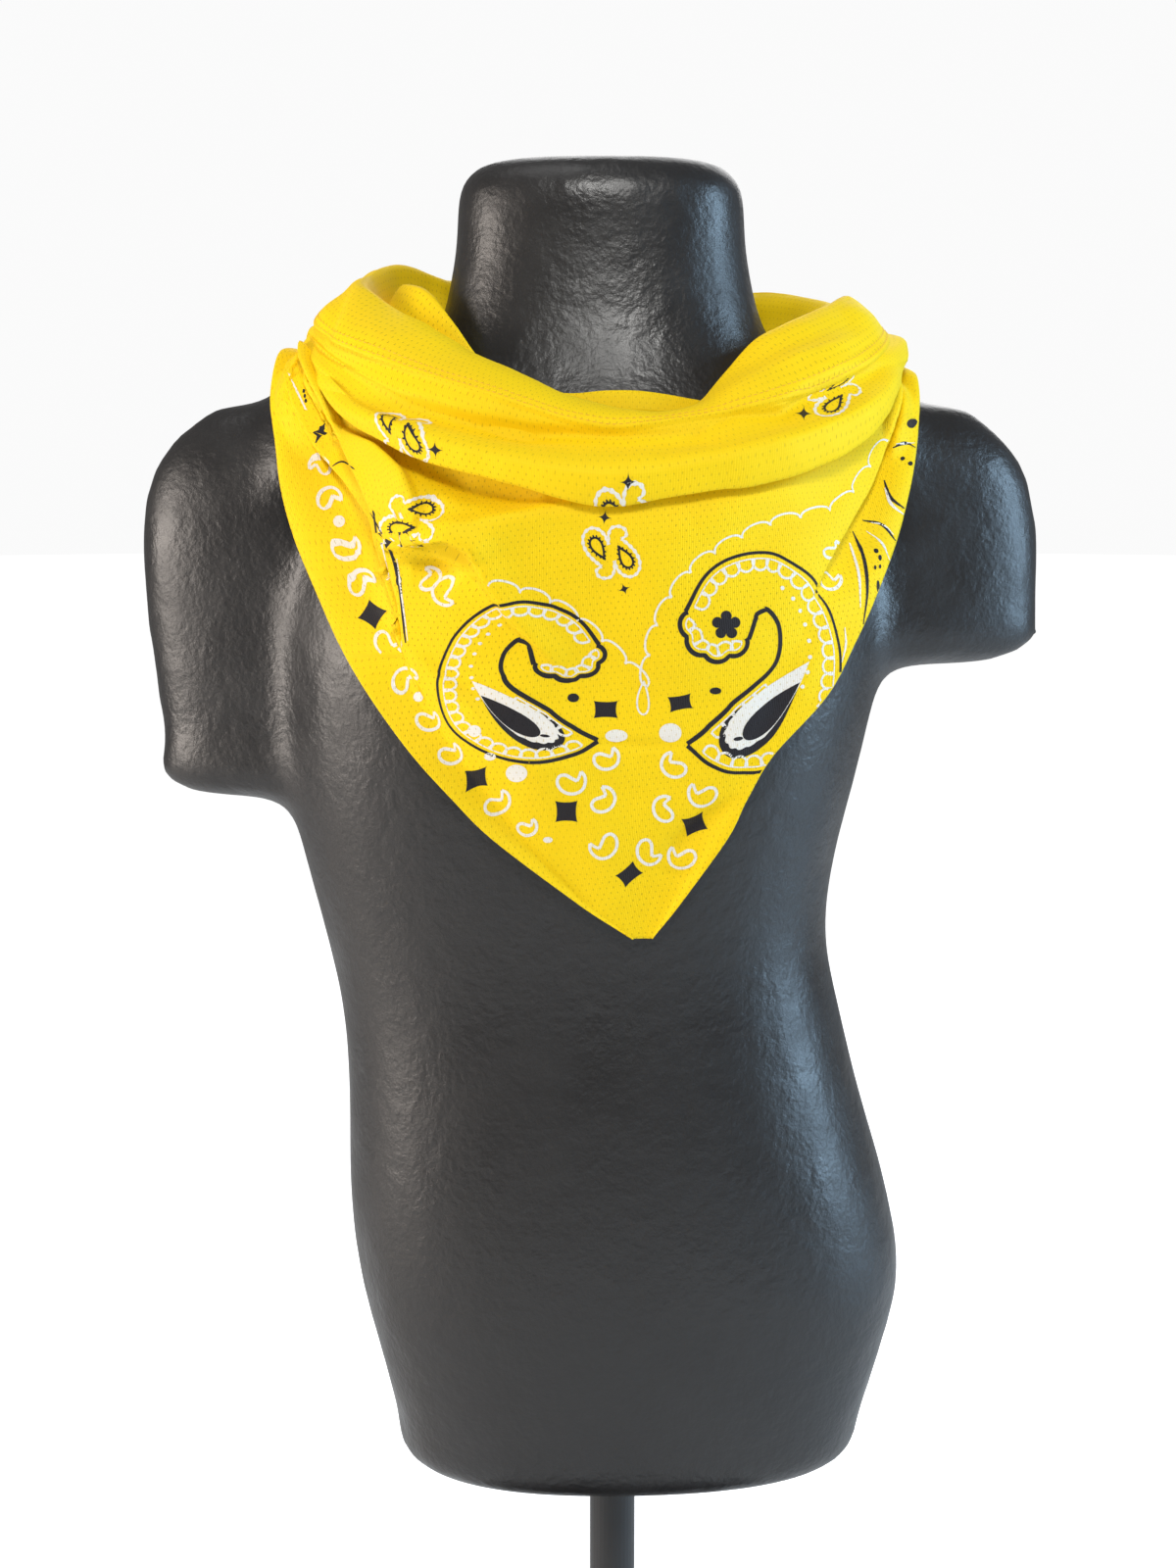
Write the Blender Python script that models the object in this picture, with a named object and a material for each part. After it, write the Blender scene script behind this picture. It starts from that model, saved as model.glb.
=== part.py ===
"""A triangular bandana tied round a limbless dress form on a pole and a round base.

Metres, +Z up, +X to the viewer's right, the front faces -Y. The origin is under the middle of the base.
The cloth is drawn in millimetres round the neck: an angle in degrees (0 in front, minus to the viewer's
left), a distance out from the neck's axis, and a height above the floor.
"""

import math

import bmesh
import bpy
import numpy as np
from mathutils import Matrix, Vector
from mathutils.bvhtree import BVHTree

MM = 0.001

# Driving dimensions, in millimetres.
CLOTH_THICKNESS = 1.5  # wall of every cloth stretch
SEAM_GAP = 0.4  # between two stretches that meet
FORM_CLEARANCE = 2.4  # between the form and the wall's inner face
LAYER_STEP = 3.4  # from one folded layer of cloth to the next
NECK_AXIS = (-4.0, 0.0)  # across, back
FORM_CENTRE_ACROSS = -7.0  # the form's centre line, beside the pole's axis
FORM_VOXEL = 15.0
POLE_RADIUS = 12.0
BASE_RADIUS = 150.0
BASE_THICKNESS = 6.0
BASE_BEVEL = 1.5
KNOT_OUT = 98.0
KNOT_UP = 827.0
KNOT_HALF_SIZES = (20.0, 16.0, 18.0)  # across, back, up
TAIL_THICKNESS = 2.4

# The form's trunk, a row for each level: up, left, right, front, back.
TRUNK = [
    (231, -70, 96, 40, -50),
    (238, -96, 124, 62, -80),
    (262, -106, 137, 77, -97),
    (300, -116, 149, 86, -111),
    (340, -126, 158, 92, -116),
    (385, -131, 151, 94, -110),
    (441, -131, 135, 92, -92),
    (486, -134, 124, 89, -82),
    (519, -141, 117, 90, -81),
    (563, -152, 121, 96, -88),
    (600, -160, 130, 102, -94),
    (640, -163, 139, 106, -99),
    (690, -163, 147, 106, -101),
    (730, -150, 142, 98, -98),
    (762, -128, 124, 83, -91),
    (790, -103, 103, 67, -81),
    (815, -86, 88, 57, -72),
    (840, -78, 79, 52, -66),
    (880, -71, 72, 49, -61),
    (905, -68, 69, 47, -58),
    (912, -56, 57, 37, -48),
]
# Each upper arm ends in a smooth stump, a row for each level: up, middle, half width, half depth.
LEFT_STUMP = [
    (592, -182, 26, 26),
    (597, -180, 42, 43),
    (620, -179, 46, 49),
    (690, -180, 53, 55),
    (735, -180, 54, 54),
    (770, -178, 44, 45),
    (792, -172, 26, 28),
]
RIGHT_STUMP = [
    (660, 170, 30, 28),
    (666, 172, 46, 44),
    (690, 171, 52, 52),
    (735, 170, 53, 53),
    (770, 166, 45, 45),
    (792, 160, 27, 28),
]
# A yoke rounds each shoulder off towards the neck, a row for each place: across, up, radius.
LEFT_YOKE = [(-60, 772, 48), (-110, 768, 50), (-160, 757, 50)]
RIGHT_YOKE = [(60, 772, 48), (108, 768, 48), (150, 757, 47)]

# The collar's lines round the neck, from its inner foot over its crest and round its roll to the tuck
# under it. A row for each place: angle, out, up.
COLLAR_LINES = {
    "inner": [
        (-172, 76, 822), (-130, 92, 832), (-100, 108, 829), (-75, 105, 818), (-45, 90, 796),
        (0, 82, 771), (30, 90, 772), (55, 92, 800), (90, 98, 822), (130, 84, 824), (172, 76, 820),
    ],
    "crest": [
        (-172, 88, 846), (-150, 99, 851), (-130, 108, 857), (-112, 116, 860), (-92, 125, 853),
        (-80, 122, 848), (-62, 97, 827), (-46, 88, 814), (-30, 83, 804), (0, 84, 789),
        (14, 88, 785), (25, 91, 788), (36, 89, 802), (48, 91, 818), (66, 103, 833),
        (84, 119, 844), (100, 114, 848), (120, 101, 849), (150, 93, 845), (172, 87, 842),
    ],
    "hem": [
        (-172, 100, 841), (-150, 114, 846), (-130, 126, 850), (-112, 136, 848), (-90, 145, 838),
        (-72, 142, 823), (-46, 122, 804), (-21, 111, 789), (0, 110, 779), (19, 112, 783),
        (39, 124, 791), (64, 137, 808), (82, 143, 824), (100, 134, 838), (125, 115, 842),
        (172, 99, 838),
    ],
    "valley": [
        (-172, 103, 834), (-150, 119, 838), (-130, 132, 840), (-112, 142, 838), (-87, 148, 827),
        (-68, 138, 811), (-43, 124, 789), (-20, 113, 779), (0, 112, 774), (18, 115, 778),
        (38, 125, 787), (63, 138, 804), (81, 145, 818), (100, 139, 829), (125, 120, 834),
        (172, 102, 831),
    ],
    "belly": [
        (-172, 104, 824), (-150, 121, 827), (-130, 136, 828), (-112, 146, 827), (-87, 151, 822),
        (-62, 146, 799), (-38, 141, 775), (-17, 133, 763), (0, 131, 758), (16, 134, 761),
        (33, 141, 771), (56, 148, 790), (76, 149, 808), (100, 142, 820), (125, 122, 825),
        (172, 103, 822),
    ],
    "edge": [
        (-172, 98, 817), (-150, 115, 820), (-130, 130, 822), (-112, 142, 822), (-87, 151, 820),
        (-72, 149, 802), (-59, 147, 785), (-38, 140, 765), (-17, 130, 753), (0, 127, 744),
        (16, 131, 749), (34, 138, 755), (55, 147, 772), (74, 149, 799), (100, 139, 815),
        (125, 118, 817), (172, 97, 815),
    ],
    "tuck": [
        (-172, 88, 820), (-150, 105, 825), (-130, 120, 827), (-112, 132, 827), (-87, 141, 825),
        (-72, 143, 808), (-59, 140, 792), (-38, 131, 772), (-17, 120, 761), (0, 117, 753),
        (16, 121, 757), (34, 128, 763), (55, 138, 780), (74, 139, 806), (100, 129, 821),
        (125, 108, 821), (172, 87, 818),
    ],
}
COLLAR_ENDS = (-168.0, 168.0)
COLLAR_FRONT = (-86.0, 84.0)  # beyond these angles the collar is the nape's gathered stretch
COLLAR_RADIUS = 100.0
COLLAR_STEP, COLLAR_SPAN = 5.5, 3  # degrees from column to column, and rows between two lines
NAPE_STEP, NAPE_SPAN = 8.0, 2

# The stretch that shows inside the collar, against the neck.
INNER_LINES = {
    "foot": [(-112, 87, 833), (-75, 84, 821), (-40, 77, 795), (0, 71, 787), (44, 80, 783)],
    "top": [
        (-112, 90, 848), (-95, 92, 846), (-75, 86, 837), (-60, 82, 821), (-40, 79, 804),
        (-20, 74, 796), (0, 74, 797), (20, 76, 796), (44, 83, 790),
    ],
    "turn": [
        (-112, 97, 838), (-95, 99, 836), (-75, 92, 828), (-60, 87, 814), (-40, 83, 797),
        (-20, 78, 788), (0, 78, 788), (20, 80, 787), (44, 87, 783),
    ],
}

# The cape that hangs below the collar, a row for each level, from the nape over the shoulders to the tip.
# A line's place is angle, out, up.
CAPE_COLUMNS = ("left_hem", "left_fold", "panel_edge", "middle", "right_fold", "right_hem")
CAPE = [
    ((-166, 104, 808), (-165, 96, 808), (-164, 86, 806), (0, 60, 800), (162, 86, 806), (166, 100, 807)),
    ((-140, 134, 808), (-139, 122, 810), (-138, 108, 812), (0, 70, 796), (136, 110, 812), (140, 127, 806)),
    ((-112, 158, 813), (-111, 146, 815), (-110, 134, 819), (0, 80, 790), (110, 134, 815), (112, 146, 810)),
    ((-90, 166, 813), (-88, 158, 812), (-85, 150, 815), (0, 90, 784), (90, 143, 811), (92, 153, 809)),
    ((-81, 167, 797), (-79, 159, 800), (-78, 151, 802), (0, 99, 775), (79, 147, 796), (84, 157, 796)),
    ((-75, 168, 775), (-69, 153, 776), (-66, 143, 778), (0, 106, 762), (72, 146, 777), (79, 157, 779)),
    ((-70, 168, 750), (-61, 146, 751), (-54, 143, 751), (0, 111, 742), (61, 148, 751), (70, 157, 750)),
    ((-66, 165, 727), (-54, 139, 726), (-49, 141, 726), (0, 113, 722), (52, 145, 727), (65, 155, 727)),
    ((-61, 160, 703), (-50, 138, 702), (-46, 139, 702), (0, 113, 702), (46, 139, 703), (60, 151, 703)),
    ((-56, 154, 677), (-45, 135, 678), (-44, 137, 678), (1, 112, 678), (42, 134, 678), (53, 148, 678)),
    ((-50, 148, 654), (-42, 130, 654), (-40, 130, 654), (1, 112, 654), (38, 131, 654), (47, 143, 654)),
    ((-42, 139, 627), (-35, 124, 627), (-33, 124, 627), (3, 111, 627), (30, 125, 627), (37, 132, 627)),
    ((-35, 129, 606), (-29, 117, 606), (-27, 117, 606), (4, 110, 606), (26, 119, 606), (32, 126, 606)),
    ((-27, 119, 586), (-22, 111, 586), (-20, 111, 586), (5, 107, 586), (22, 114, 586), (28, 121, 586)),
    ((-8, 104, 555), (-6, 103, 555), (-5, 103, 555), (8, 103, 555), (16, 106, 555), (19, 109, 555)),
    ((7, 101, 537), (7.4, 101, 537), (7.8, 101, 537), (10, 101, 537), (12, 102, 537), (12.4, 102, 537)),
]
CAPE_FIRST_PANEL_LEVEL = 4  # the front panel starts under the collar at this row
LEFT_FOLD_FADES, LEFT_FOLD_ENDS = 7.5, 9.0  # rows between which the left fold dies away
RIGHT_FOLD_FADES, RIGHT_FOLD_ENDS = 6.7, 8.2
PLEAT_ENDS = 8.2
OVERLAP_STARTS, OVERLAP_WHOLE = 3.5, 4.5  # rows between which the layers begin to overlap
OVERLAP = 0.45  # how far a layer runs on under the next, as a share of the strip beside it
SEAM_SHARE = 0.05  # the same, for a seam's gap
LEFT_WING_LAYERS, RIGHT_WING_LAYERS = 2.0, 1.5  # how many layers of cloth lie over each wing

# Each tail of the knot, a row for each place: share of its length, angle, out, up, half width, ridge.
TAIL = [
    (0.0, 174, 106, 807, 6, 2.0),
    (0.15, 172, 111, 794, 11, 3.0),
    (0.4, 168, 111, 768, 18, 4.0),
    (0.7, 165, 108, 738, 15, 3.0),
    (1.0, 163, 107, 712, 2, 0.5),
]

# The largest folds in the front panel: points as (angle, up), then the ridge's height and half width.
# A fold with a minus height is a trough.
FOLDS = [
    ([(-46, 733), (-33, 735), (-29, 726)], 6.0, 9.0),
    ([(-27, 712), (-22, 697), (-13, 682)], -4.0, 8.0),
    ([(-41, 742), (-24, 744), (-6, 752)], -3.0, 9.0),
    ([(-42, 676), (-34, 658), (-24, 632), (-8, 620)], -2.6, 10.0),
    ([(62, 752), (44, 722), (30, 700)], 3.0, 14.0),
]


def smooth_rows(rows, at):
    """Values of a table at `at`, on a smooth curve through its rows, whose first column is the place."""
    rows = np.array(rows, float)
    place, values = rows[:, 0], rows[:, 1:]
    at = np.clip(np.asarray(at, float), place[0], place[-1])
    step = np.diff(place)
    slope = np.diff(values, axis=0) / step[:, None]
    tangent = np.empty_like(values)
    tangent[0], tangent[-1] = slope[0], slope[-1]
    share = (step[1:] / (step[1:] + step[:-1]))[:, None]
    tangent[1:-1] = slope[:-1] * share + slope[1:] * (1 - share)
    i = np.clip(np.searchsorted(place, at, side="right") - 1, 0, len(step) - 1)
    t = ((at - place[i]) / step[i])[..., None]
    h = step[i][..., None]
    return curve_between(values[i], values[i + 1], h * tangent[i], h * tangent[i + 1], t)


def curve_between(start, end, leaving, arriving, t):
    """The cubic from `start` to `end` with the given tangents, at share `t` of its way."""
    return (
        (2 * t**3 - 3 * t**2 + 1) * start
        + (t**3 - 2 * t**2 + t) * leaving
        + (3 * t**2 - 2 * t**3) * end
        + (t**3 - t**2) * arriving
    )


def between_lines(lines, across):
    """Values of evenly numbered lines at `across`, on a curve that never swings past a line's own value."""
    before, after = np.diff(lines, axis=0)[:-1], np.diff(lines, axis=0)[1:]
    tangent = np.empty_like(lines)
    tangent[0], tangent[-1] = before[0], after[-1]
    alike = before * after > 0
    tangent[1:-1] = np.where(alike, 2 * before * after / np.where(alike, before + after, 1), 0)
    i = np.clip(across.astype(int), 0, len(lines) - 2)
    return curve_between(lines[i], lines[i + 1], tangent[i], tangent[i + 1], (across - i)[:, None])


def round_neck(angle, out, up):
    """Points in millimetres from an angle round the neck, a distance out and a height."""
    turn = np.radians(angle)
    return np.stack(
        [NECK_AXIS[0] + out * np.sin(turn), NECK_AXIS[1] - out * np.cos(turn), up + 0 * turn], axis=-1
    )


def make_material(name, colour, roughness, metallic=0.0):
    material = bpy.data.materials.new(name)
    material.use_nodes = True
    shader = material.node_tree.nodes["Principled BSDF"]
    shader.inputs["Base Color"].default_value = (*colour, 1.0)
    shader.inputs["Roughness"].default_value = roughness
    shader.inputs["Metallic"].default_value = metallic
    return material


def make_object(name, points, faces, material, smooth=True):
    """An object from points in millimetres."""
    mesh = bpy.data.meshes.new(name)
    mesh.from_pydata((np.asarray(points) * MM).tolist(), [], [list(map(int, face)) for face in faces])
    mesh.validate()
    if smooth:
        mesh.shade_smooth()
    mesh.materials.append(material)
    made = bpy.data.objects.new(name, mesh)
    bpy.context.scene.collection.objects.link(made)
    return made


def ring_loft(rings):
    """Closed points and faces through rings of equally many points, from the bottom ring to the top."""
    rings = np.asarray(rings)
    levels, around = rings.shape[:2]
    points = rings.reshape(-1, 3)
    faces = []
    for low in range(0, (levels - 1) * around, around):
        for i in range(around):
            beside = (i + 1) % around
            faces.append((low + i, low + beside, low + around + beside, low + around + i))
    faces.append(tuple(reversed(range(around))))
    faces.append(tuple((levels - 1) * around + i for i in range(around)))
    return points, faces


def oval_ring(left, right, front, back, up, around=40, fullness=2.3):
    """A rounded section of the form, where `fullness` 2 is an ellipse and more is squarer."""
    turn = np.linspace(0, 2 * np.pi, around, endpoint=False)
    across, forward = np.cos(turn), np.sin(turn)
    across = np.sign(across) * np.abs(across) ** (2 / fullness)
    forward = np.sign(forward) * np.abs(forward) ** (2 / fullness)
    x = np.where(across > 0, across * right, -across * left)
    y = np.where(forward > 0, forward * -back, forward * front)
    return np.stack([x + FORM_CENTRE_ACROSS, y, np.full(around, up)], axis=-1)


def trunk_solid(levels=34):
    ups = np.linspace(TRUNK[0][0], TRUNK[-1][0], levels)
    sections = smooth_rows(TRUNK, ups)
    return ring_loft([oval_ring(*section, up) for section, up in zip(sections, ups, strict=True)])


def stump_solid(rows, levels=16):
    ups = np.linspace(rows[0][0], rows[-1][0], levels)
    sections = smooth_rows(rows, ups)
    rings = [
        oval_ring(middle - width, middle + width, depth, -depth, up, fullness=2.1)
        for (middle, width, depth), up in zip(sections, ups, strict=True)
    ]
    return ring_loft(rings)


def yoke_solid(rows, stations=8, around=24):
    """A rounded bar from the neck to the shoulder."""
    rows = sorted(rows)
    places = np.linspace(rows[0][0], rows[-1][0], stations)
    sections = smooth_rows(rows, places)
    turn = np.linspace(0, 2 * np.pi, around, endpoint=False)
    rings = []
    for across, (up, radius) in zip(places, sections, strict=True):
        x = np.full(around, across + FORM_CENTRE_ACROSS)
        rings.append(np.stack([x, radius * np.sin(-turn) + 4, up + radius * np.cos(turn)], axis=-1))
    points, faces = ring_loft(rings)
    return points, [tuple(reversed(face)) for face in faces]


def build_form(material):
    """Trunk, yokes and stumps, melted into one smooth skin."""
    points, faces = [], []
    solids = [trunk_solid(), stump_solid(LEFT_STUMP), stump_solid(RIGHT_STUMP)]
    solids += [yoke_solid(LEFT_YOKE), yoke_solid(RIGHT_YOKE)]
    for solid_points, solid_faces in solids:
        start = sum(len(p) for p in points)
        points.append(solid_points)
        faces += [[i + start for i in face] for face in solid_faces]
    form = make_object("dress_form", np.concatenate(points), faces, material)
    remesh = form.modifiers.new("one skin", "REMESH")
    remesh.mode = "VOXEL"
    remesh.voxel_size = FORM_VOXEL * MM
    remesh.use_smooth_shade = True
    settle = form.modifiers.new("soften", "SMOOTH")
    settle.factor = 0.5
    settle.iterations = 5
    return form


def surface_of(target):
    """A search tree over an object as its modifiers leave it."""
    return BVHTree.FromObject(target, bpy.context.evaluated_depsgraph_get())


def keep_clear(points, tree, clearance):
    """Moves points that are nearer to the form than `clearance` out to that distance."""
    flat = points.reshape(-1, 3).copy()
    for i, point in enumerate(flat):
        near, normal, _, _ = tree.find_nearest(Vector(point * MM))
        away = np.array(Vector(point * MM) - near) / MM
        height = float(away @ np.array(normal))
        if height < clearance:
            flat[i] = point + np.array(normal) * (clearance - height)
    return flat.reshape(points.shape)


def normals_of(grid):
    """Unit normals of a grid of points, outwards where the rows run down and the columns to the right."""
    down = np.gradient(grid, axis=0)
    right = np.gradient(grid, axis=1)
    normal = np.cross(down, right)
    length = np.linalg.norm(normal, axis=-1, keepdims=True)
    return normal / np.maximum(length, 1e-9)


def thickened(grid, thickness=CLOTH_THICKNESS):
    """The inner and the outer face of a wall whose inner face is the grid."""
    return grid, grid + normals_of(grid) * thickness


def wall(name, faces_of_wall, material, keep=None):
    """A closed wall of cloth between two grids, and `keep` says which of their faces are cloth."""
    inner_grid, outer_grid = faces_of_wall
    rows, columns = inner_grid.shape[:2]
    keep = np.ones((rows - 1, columns - 1), bool) if keep is None else keep
    used = np.zeros((rows, columns), bool)
    for dr in (0, 1):
        for dc in (0, 1):
            used[dr : rows - 1 + dr, dc : columns - 1 + dc] |= keep
    index = np.full((rows, columns), -1)
    index[used] = np.arange(used.sum())
    count = int(used.sum())
    inner, outer = inner_grid[used], outer_grid[used]
    faces = []
    for r, c in zip(*np.nonzero(keep), strict=True):
        corners = [index[r, c], index[r + 1, c], index[r + 1, c + 1], index[r, c + 1]]
        # Both faces are split along the same diagonal, the shorter one, so that the wall stays even.
        falling = np.linalg.norm(inner_grid[r, c] - inner_grid[r + 1, c + 1])
        rising = np.linalg.norm(inner_grid[r + 1, c] - inner_grid[r, c + 1])
        halves = ((0, 1, 2), (0, 2, 3)) if falling < rising else ((0, 1, 3), (1, 2, 3))
        for half in halves:
            faces.append([corners[i] + count for i in half])
            faces.append([corners[i] for i in half[::-1]])
        borders = [
            (c == 0 or not keep[r, c - 1], corners[0], corners[1]),
            (r == rows - 2 or not keep[r + 1, c], corners[1], corners[2]),
            (c == columns - 2 or not keep[r, c + 1], corners[2], corners[3]),
            (r == 0 or not keep[r - 1, c], corners[3], corners[0]),
        ]
        faces += [[a + count, a, b, b + count] for open_edge, a, b in borders if open_edge]
    return make_object(name, np.concatenate([inner, outer]), faces, material)


def trimmed(grid, first=False, last=False):
    """The grid with half a seam's gap taken off its first or last row."""
    grid = grid.copy()
    for wanted, end, beside in ((first, 0, 1), (last, -1, -2)):
        if wanted:
            step = grid[beside] - grid[end]
            grid[end] += step / np.linalg.norm(step, axis=-1, keepdims=True) * SEAM_GAP / 2
    return grid


def section_grid(lines, names, angles, per_span):
    """A grid over named lines: its rows run along the section, and each column is one angle."""
    stations = np.stack([smooth_rows(lines[name], angles) for name in names])
    columns = []
    for k, column in enumerate(np.moveaxis(stations, 1, 0)):
        place = np.concatenate([[0], np.cumsum(np.linalg.norm(np.diff(column, axis=0), axis=1))])
        at = [np.linspace(a, b, per_span, endpoint=False) for a, b in zip(place, place[1:])]
        section = smooth_rows(np.column_stack([place, column]), np.append(np.concatenate(at), place[-1]))
        columns.append(round_neck(np.full(len(section), angles[k]), section[:, 0], section[:, 1]))
    return np.stack(columns, axis=1)


def build_collar(tree, cloth):
    """The rolled collar: two stretches in front, and the gathered nape on each side."""
    names = list(COLLAR_LINES)
    clearance = FORM_CLEARANCE + CLOTH_THICKNESS  # because these walls also thicken towards the neck
    split = names.index("valley") * COLLAR_SPAN
    front = np.linspace(*COLLAR_FRONT, round((COLLAR_FRONT[1] - COLLAR_FRONT[0]) / COLLAR_STEP))
    grid = keep_clear(section_grid(COLLAR_LINES, names, front, COLLAR_SPAN), tree, clearance)
    both = thickened(grid)
    wall("collar_top", [trimmed(face[: split + 1], last=True) for face in both], cloth)
    wall("collar_roll", [trimmed(face[split:], first=True) for face in both], cloth)
    gap = math.degrees(SEAM_GAP / COLLAR_RADIUS)
    for name, start, end in (
        ("nape_left", COLLAR_ENDS[0], COLLAR_FRONT[0] - gap),
        ("nape_right", COLLAR_FRONT[1] + gap, COLLAR_ENDS[1]),
    ):
        angles = np.linspace(start, end, round((end - start) / NAPE_STEP))
        grid = section_grid(COLLAR_LINES, names, angles, NAPE_SPAN)
        wall(name, thickened(keep_clear(grid, tree, clearance)), cloth)
    start, end = INNER_LINES["top"][0][0], INNER_LINES["top"][-1][0]
    angles = np.linspace(start, end, round((end - start) / NAPE_STEP))
    grid = section_grid(INNER_LINES, list(INNER_LINES), angles, NAPE_SPAN)
    wall("collar_inner", thickened(keep_clear(grid, tree, clearance)), cloth)


def cape_base(levels, across):
    """The cape before it is folded: `levels` are row numbers and `across` runs from 0, the left hem, to 5."""
    table = np.array(CAPE, float)
    lines = smooth_rows(np.column_stack([np.arange(len(table)), table.reshape(len(table), -1)]), levels)
    lines = lines.reshape(len(levels), len(CAPE_COLUMNS), 3)
    rows = []
    for level in range(len(levels)):
        places = between_lines(lines[level], across[level])
        rows.append(round_neck(places[:, 0], places[:, 1], places[:, 2]))
    return np.stack(rows)


def distance_to_line(grid, points):
    """How far each point of the grid is from a line drawn round the neck, as angles and heights."""
    across = grid[..., 0] - NECK_AXIS[0]
    forward = NECK_AXIS[1] - grid[..., 1]
    angle, out = np.degrees(np.arctan2(across, forward)), np.hypot(across, forward)
    nearest = np.full(out.shape, np.inf)
    for (a0, u0), (a1, u1) in zip(points, points[1:]):
        along, drop = np.radians(a1 - a0) * out, u1 - u0
        side, rise = np.radians(angle - a0) * out, grid[..., 2] - u0
        share = np.clip((side * along + rise * drop) / (along**2 + drop**2), 0, 1)
        nearest = np.minimum(nearest, np.hypot(side - share * along, rise - share * drop))
    return nearest


def fold_height(grid):
    """How far the folds lift each point of the front panel."""
    lift = np.zeros(grid.shape[:2])
    for points, height, width in FOLDS:
        lift += height * np.exp(-((distance_to_line(grid, points) / width) ** 2))
    return lift


def fading(level, start, end):
    """1 down to row `start`, 0 from row `end` on."""
    return float(np.clip((end - level) / (end - start), 0, 1))


def overlap(level, fades, ends):
    """How far a layer runs on under the next one, from the collar down to where that is gone."""
    return OVERLAP * fading(level, fades, ends) * (1 - fading(level, OVERLAP_STARTS, OVERLAP_WHOLE))


def left_layers(level):
    return fading(level, LEFT_FOLD_FADES, LEFT_FOLD_ENDS)


def right_layers(level):
    return fading(level, RIGHT_FOLD_FADES, RIGHT_FOLD_ENDS)


def strip_levels(last):
    """Rows for a strip, which are closest together where it turns forward over the shoulder."""
    return np.concatenate([np.linspace(0, 2.8, 6), np.linspace(3, 5.4, 13), np.linspace(5.7, last, 8)])


def cape_strip(levels, start, end, columns, depth):
    """A stretch of the cape between two places across, `depth` layers of cloth below the front panel."""
    share = np.linspace(0, 1, columns)
    across = np.stack([start(level) + (end(level) - start(level)) * share for level in levels])
    grid = cape_base(levels, across)
    sunk = np.array([depth(level) for level in levels]) * LAYER_STEP
    return grid - normals_of(grid) * sunk[:, None, None]


def build_wings(tree, cloth):
    """The strips beside and behind the front panel, over the shoulders to the nape.

    A strip runs between two places across the cape, as row numbers pass down it.
    """
    strip = cape_strip(
        strip_levels(LEFT_FOLD_ENDS - SEAM_SHARE),
        lambda level: 0.0,
        lambda level: 1 - SEAM_SHARE + overlap(level, 6.5, 7.5),
        5,
        lambda level: LEFT_WING_LAYERS * left_layers(level),
    )
    wall("left_wing", thickened(keep_clear(strip, tree, FORM_CLEARANCE)), cloth)
    strip = cape_strip(
        strip_levels(PLEAT_ENDS),
        lambda level: 1 + SEAM_SHARE,
        lambda level: 2 - SEAM_SHARE,
        3,
        left_layers,
    )
    over_wing = FORM_CLEARANCE + CLOTH_THICKNESS + SEAM_GAP
    wall("left_pleat", thickened(keep_clear(strip, tree, over_wing)), cloth)
    strip = cape_strip(
        strip_levels(RIGHT_FOLD_ENDS - SEAM_SHARE),
        lambda level: 4 + SEAM_SHARE - overlap(level, 6.0, 7.0),
        lambda level: 5.0,
        5,
        lambda level: RIGHT_WING_LAYERS * right_layers(level),
    )
    wall("right_wing", thickened(keep_clear(strip, tree, FORM_CLEARANCE)), cloth)


def build_panel(tree, cloth):
    """The front panel: between its two folds, and from hem to hem where they have died away."""
    last = len(CAPE) - 1
    upper = np.linspace(CAPE_FIRST_PANEL_LEVEL, RIGHT_FOLD_ENDS, 12)
    lower = np.linspace(LEFT_FOLD_ENDS, last - 0.4, 17)
    levels = np.concatenate([upper, lower, [last]])
    across = np.concatenate([[0, 0.7, 1.4], np.linspace(2, 4, 18), [4.35, 4.7, 5]])
    grid = cape_base(levels, np.broadcast_to(across, (len(levels), len(across))))
    grid = grid + normals_of(grid) * fold_height(grid)[..., None]
    middle_level = (levels[1:] + levels[:-1]) / 2
    middle_across = (across[1:] + across[:-1]) / 2
    keep = (middle_across > 2) & (middle_across < 4) | (middle_level[:, None] > LEFT_FOLD_ENDS)
    keep |= (middle_across > 4) & (middle_level[:, None] > RIGHT_FOLD_ENDS)
    wall("front_panel", thickened(keep_clear(grid, tree, FORM_CLEARANCE)), cloth, keep)


def build_knot(cloth):
    """The tie at the nape and its two short tails."""
    half_width, half_depth, half_height = KNOT_HALF_SIZES
    turns, rings = 20, 11
    centre = round_neck(np.array(180.0), np.array(KNOT_OUT), np.array(KNOT_UP))
    rows = []
    for polar in np.linspace(0, math.pi, rings + 2)[1:-1]:
        turn = np.linspace(0, 2 * math.pi, turns, endpoint=False)
        pinch = 1 - 0.14 * np.cos(2 * (turn - 0.9)) ** 2
        x = half_width * math.sin(polar) * np.cos(turn) * pinch
        y = half_depth * math.sin(polar) * np.sin(turn) * pinch
        rows.append(np.stack([x, y, np.full(turns, -half_height * math.cos(polar))], axis=-1) + centre)
    make_object("knot", *ring_loft(rows), cloth)
    for name, side in (("tail_left", -1), ("tail_right", 1)):
        along = np.linspace(0, 1, 11)
        rows = []
        for angle, out, up, half, ridge in smooth_rows(TAIL, along):
            share = np.linspace(-1, 1, 7)
            angles = side * (angle - np.degrees(half / out) * share[::-1] * side)
            rows.append(round_neck(angles, out + ridge * (1 - share**2), np.full(7, up)))
        wall(name, thickened(np.stack(rows), TAIL_THICKNESS), cloth)


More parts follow.
